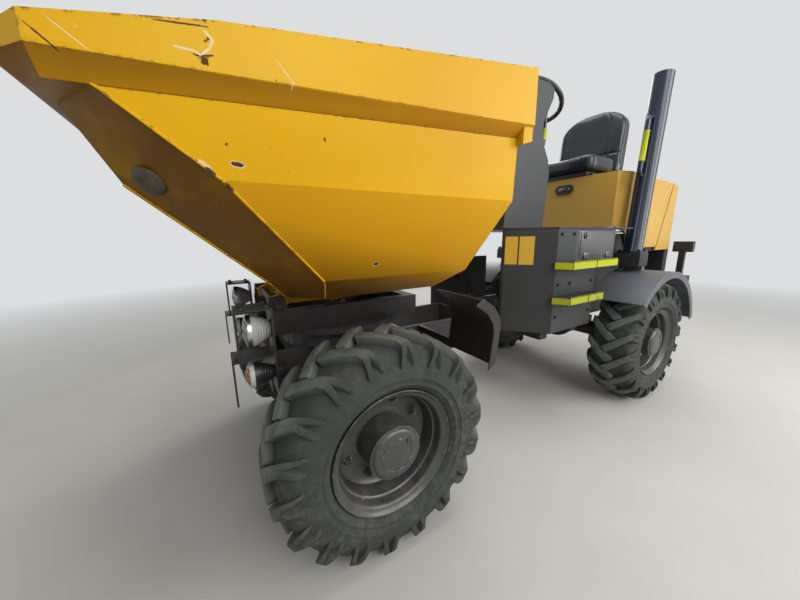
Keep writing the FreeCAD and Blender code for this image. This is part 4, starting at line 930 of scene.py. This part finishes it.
def blown(piece):
    """Runs a short cloth simulation and keeps its result, no point further than the pad's reach."""
    start = [vert.co.copy() for vert in piece.data.vertices]
    cloth = piece.modifiers.new("cloth", "CLOTH")
    cloth.settings.use_pressure = True
    cloth.settings.uniform_pressure_force = PAD_PRESSURE
    cloth.settings.effector_weights.gravity = 0
    cloth.settings.quality = 4
    cloth.point_cache.frame_start = 1
    cloth.point_cache.frame_end = PAD_FRAMES
    for number in range(1, PAD_FRAMES + 1):
        bpy.context.scene.frame_set(number)
    baked(piece)
    bpy.context.scene.frame_set(1)
    for vert, place in zip(piece.data.vertices, start):
        move = vert.co - place
        if move.length > PAD_REACH:
            vert.co = place + move.normalized() * PAD_REACH


def smoothed(piece, times):
    """Irons out small wrinkles and keeps the swell."""
    smooth = piece.modifiers.new("rounder", "SMOOTH")
    smooth.factor = 0.5
    smooth.iterations = times
    baked(piece)


def pad(name, node, shrink, press):
    """A vinyl pad in the room of its CAD node. press(point, half) is how far a seam moves a point."""
    low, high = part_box(node)
    centre = (low + high) / 2
    half = (high - low) / 2
    mesh = bmesh.new()
    mesh.from_mesh(nodes[node].data)
    bmesh.ops.remove_doubles(mesh, verts=mesh.verts, dist=MERGE)
    bmesh.ops.scale(mesh, verts=mesh.verts, vec=shrink, space=Matrix.Translation(-centre))
    piece = finish_piece(name, mesh, node, "seat_vinyl", angle=math.pi, turn_out=False)
    remesh = piece.modifiers.new("voxels", "REMESH")
    remesh.mode = "VOXEL"
    remesh.voxel_size = VOXEL
    baked(piece)
    blown(piece)
    smoothed(piece, PAD_SMOOTHING)
    for vert in piece.data.vertices:
        vert.co += press(vert.co - centre, half)
        for axis in range(3):
            vert.co[axis] = min(max(vert.co[axis], low[axis] + PAD_ROOM), high[axis] - PAD_ROOM)
    smoothed(piece, 1)
    finer = piece.modifiers.new("finer", "SUBSURF")
    finer.levels = 1
    finer.render_levels = 1
    for face in piece.data.polygons:
        face.use_smooth = True
    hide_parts(node)
    return piece


def groove(distance, width=0.006):
    """How deep a seam presses at a distance from its line, from 0 to 1."""
    return math.exp(-(distance / width) ** 2)


SEAM_DEPTH = 0.009
BACK_ROUND = 0.150


def press_cushion(point, half):
    seam = groove(abs(point.y) - half.y * 0.60) + 0.9 * groove(point.x - half.x * 0.52)
    dish = 0.010 * max(0.0, 1 - (point.y / (half.y * 0.6)) ** 2)
    crease = 0.0018 * math.sin(point.y * 95 + math.sin(point.x * 40) * 1.6)
    crease *= groove(abs(point.y) - half.y * 0.8, 0.05)
    top = max(0.0, point.z / half.z)
    side = crease * (1 - top)
    return Vector((side, math.copysign(side, point.y), top * (crease - SEAM_DEPTH * min(seam, 1.0) - dish)))


def press_backrest(point, half):
    """Seams, a hollow for the driver's back, and sides that come together to a round top."""
    front = max(0.0, point.x / half.x)
    seam = groove(abs(point.y) - half.y * 0.62) + 0.8 * groove(point.z + half.z * 0.35)
    dish = 0.012 * max(0.0, 1 - (point.y / (half.y * 0.62)) ** 2)
    above = min(1.0, max(0.0, point.z - (half.z - BACK_ROUND)) / BACK_ROUND)
    narrower = 1 - (1 - math.sqrt(1 - 0.96 * above ** 2.6)) * BACK_ROUND / half.y
    return Vector((-front * (SEAM_DEPTH * min(seam, 1.0) + dish), point.y * (narrower - 1), 0))


cushion = pad("seat_pad", "seat_cushion", (0.97, 0.98, 0.90), press_cushion)
backrest = pad("back_pad", "seat_backrest", (0.90, 0.985, 0.985), press_backrest)
print("seat pad faces:", len(cushion.data.polygons), "back pad faces:", len(backrest.data.polygons))

# %% [markdown]
# ## The seat's welts
# A thin cord is sewn into the edge of each pad, and it shows as a bright line down the
# backrest. It is a tube that runs round the pad's outline, so a short row of corner
# points with a bevelled curve is enough, made a mesh before it is placed.

# %% Welts
WELT_RADIUS = 0.0034
WELT_PROUD = 0.0005
WELT_STEPS = 7
BACK_CORNER = 0.140
BACK_LEAN = 0.087


def welt(name, points, node, slot):
    """A smooth tube through a few points, as a mesh."""
    curve = bpy.data.curves.new(name, "CURVE")
    curve.dimensions = "3D"
    curve.bevel_depth = WELT_RADIUS
    curve.bevel_resolution = 3
    curve.resolution_u = 8
    curve.use_fill_caps = True
    line = curve.splines.new("NURBS")
    line.points.add(len(points) - 1)
    for place, point in zip(line.points, points):
        place.co = (*point, 1)
    line.use_endpoint_u = True
    line.order_u = 3
    holder = bpy.data.objects.new(name, curve)
    bpy.context.scene.collection.objects.link(holder)
    bpy.context.view_layer.update()
    mesh = bmesh.new()
    shape = holder.evaluated_get(bpy.context.evaluated_depsgraph_get())
    mesh.from_mesh(bpy.data.meshes.new_from_object(shape))
    bpy.data.objects.remove(holder)
    finish_piece(name, mesh, node, slot)


def snapped(piece, corners):
    """Points along a row of corners, each laid on the piece's skin."""
    graph = bpy.context.evaluated_depsgraph_get()
    points = []
    for near, far in zip(corners, corners[1:]):
        for step in range(WELT_STEPS):
            spot = near.lerp(far, step / WELT_STEPS)
            hit, place, normal, face = piece.closest_point_on_mesh(spot, depsgraph=graph)
            points.append(place + normal * WELT_PROUD)
    return points


def back_edge():
    """The backrest's outline from its foot on the right, over the top, to its foot on the left."""
    low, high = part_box("seat_backrest")
    side, top, foot = high.y - 0.002, high.z - 0.002, low.z + 0.03
    half = [(side, foot), (side, top - BACK_CORNER), (side, top - BACK_CORNER * 0.25),
            (side - BACK_CORNER * 0.25, top), (side - BACK_CORNER, top)]
    rows = [(-y, z) for y, z in half] + half[::-1]
    return [Vector((high.x - 0.026 - BACK_LEAN * (z - low.z), y, z)) for y, z in rows]


bpy.context.view_layer.update()
welt("back_welt", snapped(backrest, back_edge()), "seat_backrest", "seat_vinyl")
print("welt round the backrest")

# %% [markdown]
# ## The steering wheel
# The rim is a padded ring with finger waves on its underside, and the spokes are flat
# pressed arms that widen into the boss. A spun circle gives the ring; the waves are a
# small move of its points, which costs no faces.

# %% Steering wheel
WHEEL_CENTRE = at(-455, 0, 1915)
WHEEL_RING = 0.180
WHEEL_GRIP = 0.0138
WHEEL_TILT = math.radians(28)
WHEEL_AXIS = Vector((-math.sin(WHEEL_TILT), 0, math.cos(WHEEL_TILT)))


def steering_wheel():
    mesh = bmesh.new()
    section = [(WHEEL_GRIP * math.sin(turn), WHEEL_RING + WHEEL_GRIP * math.cos(turn))
               for turn in [math.tau * step / 14 for step in range(14)]]
    lathe(mesh, section, WHEEL_CENTRE, WHEEL_AXIS, 96, closed=True)
    for vert in mesh.verts:
        arm = vert.co - WHEEL_CENTRE
        flat = arm - WHEEL_AXIS * arm.dot(WHEEL_AXIS)
        turn = math.atan2(flat.y, flat.cross(WHEEL_AXIS).y)
        inner = max(0.0, (WHEEL_RING - flat.length) / WHEEL_GRIP)
        vert.co += flat.normalized() * 0.0016 * inner * math.cos(turn * 28)
    across = Vector((0, 1, 0))
    along = WHEEL_AXIS.cross(across)
    for turn in (0, 120, 240):
        out = along * math.cos(math.radians(turn)) + across * math.sin(math.radians(turn))
        wide = WHEEL_AXIS.cross(out)
        corners = [(0.028, 0.017, -0.004), (0.090, 0.009, 0.0), (0.172, 0.012, 0.001)]
        outline = [WHEEL_CENTRE + out * reach + wide * half + WHEEL_AXIS * rise
                   for reach, half, rise in corners]
        outline += [WHEEL_CENTRE + out * reach - wide * half + WHEEL_AXIS * rise
                    for reach, half, rise in corners[::-1]]
        plate(mesh, outline, WHEEL_AXIS * -0.006, 0.002)
    boss = [(-0.0195, 0.0), (-0.0195, 0.034), (-0.004, 0.0395), (0.006, 0.0385), (0.010, 0.034),
            (0.012, 0.030),
            (0.010, 0.028), (0.0155, 0.020), (0.0180, 0.0)]
    lathe(mesh, boss, WHEEL_CENTRE, WHEEL_AXIS, 40)
    return mesh


wheel = finish_piece("steering_ring", steering_wheel(), "steering_wheel", "black_plastic")
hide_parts("steering_wheel")
print("steering wheel faces:", len(wheel.data.polygons))

# %% [markdown]
# ## Grip sleeves
# The grab handles wear bright yellow-green plastic sleeves where a hand goes. Each is a
# short turned tube that hugs the bar, with a rolled lip at both ends.

# %% Sleeves on the handles
SLEEVE_WALL = 0.0032


def sleeve(mesh, start, end, bar):
    axis = end - start
    length = axis.length
    outer = bar + SLEEVE_WALL
    profile = [(0, bar), (0, outer + 0.001), (0.004, outer + 0.001), (0.006, outer), (length - 0.006, outer),
               (length - 0.004, outer + 0.001), (length, outer + 0.001), (length, bar)]
    lathe(mesh, profile, start, axis, 28, closed=True)


def post_at(height, forward, side):
    """A place on the roll bar's leaning centre line, as high above its foot as asked."""
    return at(-902 - 86 / 1038 * height + forward, side * 492, 960 + height)


mesh = bmesh.new()
for side in (1, -1):
    sleeve(mesh, post_at(545, 92, side), post_at(715, 92, side), 0.0121)
finish_piece("handle_sleeves", mesh, "grab_handles", "post_navy", "grip_yellow")
mesh = bmesh.new()
for side in (1, -1):
    sleeve(mesh, at(-280.1, side * 233, 1606), at(-280.1, side * 233, 1668), 0.0097)
finish_piece("console_sleeves", mesh, "console", "post_navy", "grip_yellow")
print("sleeves on", 4, "handles")

# %% [markdown]
# ## Grip edges on the steps
# Each step's outer edge carries a folded strip in safety yellow, with a row of small
# teeth that a boot bites into. The strip is one outline with a toothed top, extruded to
# the thickness of sheet metal, so the teeth are real and not a pattern.

# %% Step strips
STEP_FACE = 592
STEP_STRIPS = [
    # step top z, front x, rear x
    (948, -74, -276), (948, -284, -496), (772, -74, -232), (772, -240, -381),
]
TOOTH_PITCH = 15
TOOTH_HEIGHT = 7


def toothed_strip(mesh, top, front, rear, side):
    count = int((front - rear) / TOOTH_PITCH)
    pitch = (front - rear) / count
    outline = [(front, top - 33), (front, top - 1)]
    for index in range(count):
        x = front - index * pitch
        outline += [(x - pitch * 0.25, top - 1), (x - pitch * 0.4, top + TOOTH_HEIGHT),
                    (x - pitch * 0.6, top + TOOTH_HEIGHT), (x - pitch * 0.75, top - 1)]
    outline += [(rear, top - 1), (rear, top - 33)]
    plate(mesh, [at(x, side * (STEP_FACE + 0.2), z) for x, z in outline], (0, side * 0.0022, 0))


def corner_strip(mesh, top, side):
    """The strip's end that turns the step's slanted front corner."""
    foot = [(-70, 592.4), (-31, 523.5)]
    corners = ((foot[0], top - 33), (foot[0], top - 1), (foot[1], top - 1), (foot[1], top - 33))
    outline = [at(x, side * y, z) for (x, y), z in corners]
    plate(mesh, outline, Vector((0.0019, side * 0.0011, 0)))


for level, word, film in ((948, "upper", "grip_yellow"), (772, "lower", "grip_worn")):
    mesh = bmesh.new()
    for side in (1, -1):
        for top, front, rear in STEP_STRIPS:
            if top == level:
                toothed_strip(mesh, top, front, rear, side)
        corner_strip(mesh, level, side)
    finish_piece("step_grips_" + word, mesh, "steps", "step_paint", film)
print("step strips:", 2 * len(STEP_STRIPS))

# %% [markdown]
# ## Plates, door and panel lines
# The body's slanted corner has two sign plates, which stay blank here. The battery door
# is a thin sheet with a rubber edge, hinges and a turn lock. Each is a small plate with
# rounded edges that stands a millimetre proud, as the real ones do.

# %% Body plates
NOSE = (100, 315)
CORNER = (-60, 512)


def on_slant(share, z, side, proud=0.0):
    """A place on the body's slanted front corner, from 0 at the nose to 1 at the side."""
    x = NOSE[0] + (CORNER[0] - NOSE[0]) * share
    y = NOSE[1] + (CORNER[1] - NOSE[1]) * share
    return at(x + proud * 0.776, side * (y + proud * 0.631), z)


LOCK_RING = [(0, 0.0), (0, 0.017), (0.006, 0.017), (0.008, 0.015), (0.006, 0.012), (0.006, 0.0)]


def sheet(mesh, x_range, y, z_range, depth, rounding):
    """A thin upright sheet on the battery box, facing left."""
    (rear, front), (low, high) = x_range, z_range
    corners = ((rear, low), (rear, high), (front, high), (front, low))
    plate(mesh, [at(x, y, z) for x, z in corners], (0, depth, 0), rounding)


mesh = bmesh.new()
for side in (1, -1):
    for near, far in ((0.03, 0.27), (0.30, 0.58)):
        corners = ((near, 932), (near, 1074), (far, 1074), (far, 932))
        outline = [on_slant(share, z, side) for share, z in corners]
        plate(mesh, outline, on_slant(0, 0, side, 1.2) - on_slant(0, 0, side), 0.0005, 1)
finish_piece("blank_plates", mesh, "side_tank_left", "bonnet_yellow", "plate_yellow")

mesh = bmesh.new()
sheet(mesh, (-607, -268), 505.2, (966, 1092), 0.0035, 0.0016)
finish_piece("door_panel", mesh, "battery_box", "body_grey", "door_grey")
mesh = bmesh.new()
for x in (-560, -330):
    sheet(mesh, (x - 26, x + 26), 504, (959, 983), 0.008, 0.0015)
    lathe(mesh, [(0, 0), (0, 0.0055), (0.052, 0.0055), (0.052, 0)], at(x - 26, 508, 957), (1, 0, 0), 16)
lathe(mesh, LOCK_RING, at(-305, 508.5, 1075), (0, 1, 0), 28)
sheet(mesh, (-309, -301), 514, (1064, 1086), 0.006, 0.002)
finish_piece("door_fittings", mesh, "battery_box", "body_grey", "door_lock")
print("plates and door made")

# %% [markdown]
# ## The driver's tread plate
# The floor is chequer plate: rows of small raised lozenges that lie alternately along
# and across. Each is a flattened four-sided cone with its top cut off, so a few hundred
# of them cost little.

# %% Chequer plate
TREAD_PITCH = 42
TREAD_X = (-806, -352)
TREAD_Y = 480
PEDAL_BOX = (-430, 150)


def chequer(mesh):
    count = 0
    for column in range(int((TREAD_X[1] - TREAD_X[0]) / TREAD_PITCH) + 1):
        for row in range(-int(TREAD_Y / TREAD_PITCH), int(TREAD_Y / TREAD_PITCH) + 1):
            x = TREAD_X[0] + column * TREAD_PITCH
            y = row * TREAD_PITCH
            if x > PEDAL_BOX[0] and abs(y) < PEDAL_BOX[1]:
                continue
            turn = Matrix.Rotation(math.radians(45 if (column + row) % 2 else -45), 4, "Z")
            flat = Matrix.Diagonal((1.0, 0.32, 1.0, 1.0))
            bmesh.ops.create_cone(mesh, cap_ends=True, segments=6, radius1=0.016, radius2=0.011, depth=0.0022,
                                  matrix=Matrix.Translation(at(x, y, 1121.0)) @ turn @ flat)
            count += 1
    return count


mesh = bmesh.new()
lozenges = chequer(mesh)
finish_piece("chequer_plate", mesh, "deck_plate", "body_grey")
print("lozenges:", lozenges)

# %% [markdown]
# ## Lamps
# A lamp is a deep moulded bowl with a chrome-grey rim and a ribbed lens. The CAD lamp is
# only its outline, so bowl, rim and lens are turned here as separate parts, each with its
# own finish, inside the same outline.

# %% Lamps
LAMP_SIDE = 0.348
LAMP_RIM = [
    # share of the lamp's length, share of its radius
    (0.70, 0.93), (0.70, 1.0), (0.82, 1.0), (0.86, 0.96), (0.86, 0.86), (0.80, 0.86), (0.80, 0.93),
]
LAMP_DOME = [(0.76, 0.0), (0.76, 0.87), (0.84, 0.86), (0.91, 0.72), (0.955, 0.48), (0.985, 0.22), (0.99, 0.0)]
REAR_LENS = [
    # out from the housing, radius, both in metres
    (0, 0), (0, 0.0265), (0.004, 0.0265), (0.0055, 0.024), (0.010, 0.020), (0.0125, 0.010), (0.013, 0),
]
LAMPS_ON = {
    # node: (lens finish, lens slot, bowl finish, rim finish)
    "headlamps": ("lamp_clear", "lamp_clear", "bowl_grey", "rim_chrome"),
    "indicators": ("lamp_amber", "lamp_amber", "black_plastic", "rim_white"),
}
for node, (lens_finish, slot, bowl_finish, rim_finish) in LAMPS_ON.items():
    low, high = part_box(node)
    radius = (high.z - low.z) / 2 - 0.0005
    length = high.x - low.x
    parts = {"bowl": bmesh.new(), "rim": bmesh.new(), "lens": bmesh.new()}
    for side in (1, -1):
        start = Vector((low.x, side * LAMP_SIDE, (low.z + high.z) / 2))
        bowl = [(0.001, 0), (0.001, radius * 0.50), (length * 0.10, radius * 0.56)]
        for step in range(4):
            base = length * (0.12 + 0.10 * step)
            wide = radius * (0.62 + 0.085 * step)
            bowl += [(base, wide), (base + length * 0.05, wide + radius * 0.03),
                     (base + length * 0.06, wide - radius * 0.01)]
        bowl += [(length * 0.58, radius * 0.96), (length * 0.74, radius * 0.96), (length * 0.74, 0)]
        lathe(parts["bowl"], bowl, start, (1, 0, 0), 44)
        ring = [(length * along, radius * out) for along, out in LAMP_RIM]
        lathe(parts["rim"], ring, start, (1, 0, 0), 44, closed=True)
        dome = [(length * along, radius * out) for along, out in LAMP_DOME]
        lathe(parts["lens"], dome, start, (1, 0, 0), 44)
    finishes = {"bowl": bowl_finish, "rim": rim_finish, "lens": lens_finish}
    for part, mesh in parts.items():
        piece = finish_piece(node + "_" + part, mesh, node, slot, finishes[part])
    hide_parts(node)

mesh = bmesh.new()
for side in (1, -1):
    for y in (470, 530):
        lathe(mesh, REAR_LENS, at(-1762, side * y, 980), (-1, 0, 0), 32)
finish_piece("rear_lamp_lenses", mesh, "rear_lamps", "lamp_amber", "lamp_red")
print("lamps dressed:", len(LAMPS_ON))

# %% [markdown]
# ## Bolt heads
# Bolts tell the eye how large a machine is and what comes apart. Each row of the table
# is a group on one carrier: where the heads sit, which way they point and how large they
# are. Places on the left are repeated on the right.

# %% Bolts
BOLTS = {
    # group: (carrier node, slot, size, direction, places on the left)
    "post_bolts": ("roll_bar_posts", "post_navy", 0.010, (0, 0, 1),
                   [(-942, 440, 974), (-942, 544, 974), (-864, 440, 974), (-864, 544, 974)]),
    "lamp_bolts": ("lamp_brackets", "chassis_grey", 0.007, (0, 0, 1),
                   [(1272, 310, 865), (1272, 386, 865), (1345, 310, 865), (1345, 386, 865)]),
    "guard_bolts": ("front_mudguards", "black_plastic", 0.009, (-1, 0, 0.05),
                    [(547, 470, 640), (547, 650, 640), (546, 470, 700), (546, 650, 700)]),
    "tank_bolts": ("side_tank_left", "body_grey", 0.008, (0, 1, 0),
                   [(-90, 512, 1085), (-195, 512, 1085), (-90, 512, 830), (-195, 512, 830), (-90, 512, 660),
                    (-400, 512, 660), (-400, 512, 830)]),
    "pin_caps": ("turntable", "chassis_grey", 0.010, (0, 1, 0), [(1215, 248, 838)]),
}
for group, (carrier, slot, size, direction, places) in BOLTS.items():
    mesh = bmesh.new()
    for x, y, z in places:
        for side in (1, -1):
            bolt(mesh, at(x, side * y, z), (direction[0], side * direction[1], direction[2]), size)
    finish_piece(group, mesh, carrier, slot)
print("bolt groups:", len(BOLTS))

# %% [markdown]
# ## The skip's small parts
# The chamfered front corner of the skip has a round rubber bung over a hole, and the
# plates are joined by weld beads. A bead is a row of short overlapping ripples, so it is
# a turned profile with a wave in it, laid along the seam.

# %% Bung and weld beads
CHAMFER_SPOT = (1487, 562, 1201)
CHAMFER_EDGE = (1359, 662, 1197)
CHAMFER_NORMAL = Vector((0.4851, 0.6183, -0.6172)).normalized()


def bung(side):
    mesh = bmesh.new()
    out = Vector((CHAMFER_NORMAL.x, side * CHAMFER_NORMAL.y, CHAMFER_NORMAL.z))
    edge = at(CHAMFER_EDGE[0], side * CHAMFER_EDGE[1], CHAMFER_EDGE[2])
    spot = at(CHAMFER_SPOT[0], side * CHAMFER_SPOT[1], CHAMFER_SPOT[2])
    spot -= out * (spot - edge).dot(out)
    profile = [(-0.001, 0.0), (-0.001, 0.0320), (0.003, 0.0320), (0.0055, 0.0300), (0.0080, 0.0260),
               (0.0100, 0.0190), (0.0115, 0.0100), (0.0120, 0.0)]
    lathe(mesh, profile, spot, out, 44)
    return mesh


def weld(mesh, start, end, radius=0.0042, pitch=0.007):
    """A rippled bead along a seam."""
    length = (end - start).length
    count = int(length / pitch)
    profile = [(0, 0.0)]
    for index in range(count):
        base = length * index / count
        profile += [(base + pitch * 0.1, radius * 0.86), (base + pitch * 0.55, radius)]
    profile.append((length, 0.0))
    lathe(mesh, profile, start, end - start, 8)


for side, word in ((1, "left"), (-1, "right")):
    finish_piece("skip_bung_" + word, bung(side), "skip", "skip_yellow", "bung_rubber")
CHAMFER_SEAMS = [
    # the chamfer's edge on the skip's side, from floor to band, and its edge on the front slope
    [(1085, 400, 875), (1117, 512, 950), (1359, 662, 1197), (1560, 664, 1357)],
    [(1190, 300, 875), (1262, 400, 950), (1540, 520, 1197)],
]
mesh = bmesh.new()
for seam in CHAMFER_SEAMS:
    for start, end in zip(seam, seam[1:]):
        for side in (1, -1):
            weld(mesh, at(start[0], side * start[1], start[2]), at(end[0], side * end[1], end[2]))
finish_piece("skip_welds", mesh, "skip", "skip_yellow")
print("weld seams:", 2 * sum(len(seam) - 1 for seam in CHAMFER_SEAMS))

# %% [markdown]
# ## Latch and hose ends
# The bonnet's latch is a recessed pull with a paddle and a key barrel. The hoses end in
# crimped steel ferrules with a hexagon nut, where they go into the body.

# %% Latch and ferrules
LATCH = (-831, 38, 1403)
KEY_BARREL = [(0, 0), (0, 0.009), (0.004, 0.009), (0.005, 0.0075), (0.004, 0.003), (0.004, 0)]
FERRULE = [
    # along the hose from its end, radius, both in metres
    (0.014, 0.0112), (0.014, 0.0145), (0.020, 0.0150), (0.044, 0.0145), (0.050, 0.0125), (0.050, 0.0112),
]
mesh = bmesh.new()
x, y, z = LATCH
paddle = [(y - 34, z + 12), (y - 40, z), (y - 34, z - 12), (y + 14, z - 12), (y + 20, z), (y + 14, z + 12)]
plate(mesh, [at(x - 1, side_y, side_z) for side_y, side_z in paddle], (0.005, 0, 0), 0.002)
lathe(mesh, KEY_BARREL, at(x - 1, y + 38, z), (1, 0, 0), 24)
finish_piece("latch_paddle", mesh, "bonnet_latch", "black_plastic", "door_lock")

HOSES = [(-30, 150, 830), (-62, 116, 800)]
mesh = bmesh.new()
for x, y, z in HOSES:
    for side in (1, -1):
        for place, direction in ((at(x, side * 299, z), (0, -side, 0)), (at(-100, side * y, 641), (0, 0, 1))):
            lathe(mesh, FERRULE, place, direction, 24, closed=True)
            bmesh.ops.create_cone(mesh, cap_ends=True, segments=6, radius1=0.018, radius2=0.017, depth=0.014,
                                  matrix=facing(place + Vector(direction) * 0.007, direction))
finish_piece("hose_ferrules", mesh, "hydraulic_hoses", "steel_bare")
print("latch and hose ends made")

# %% [markdown]
# ## Sizes and the end
# The machine's size comes from the CAD model. The box round all of its shown pieces is printed.

# %% Print the scene's box
low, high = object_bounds()
print("scene box", [round(v, 3) for v in low], [round(v, 3) for v in high])
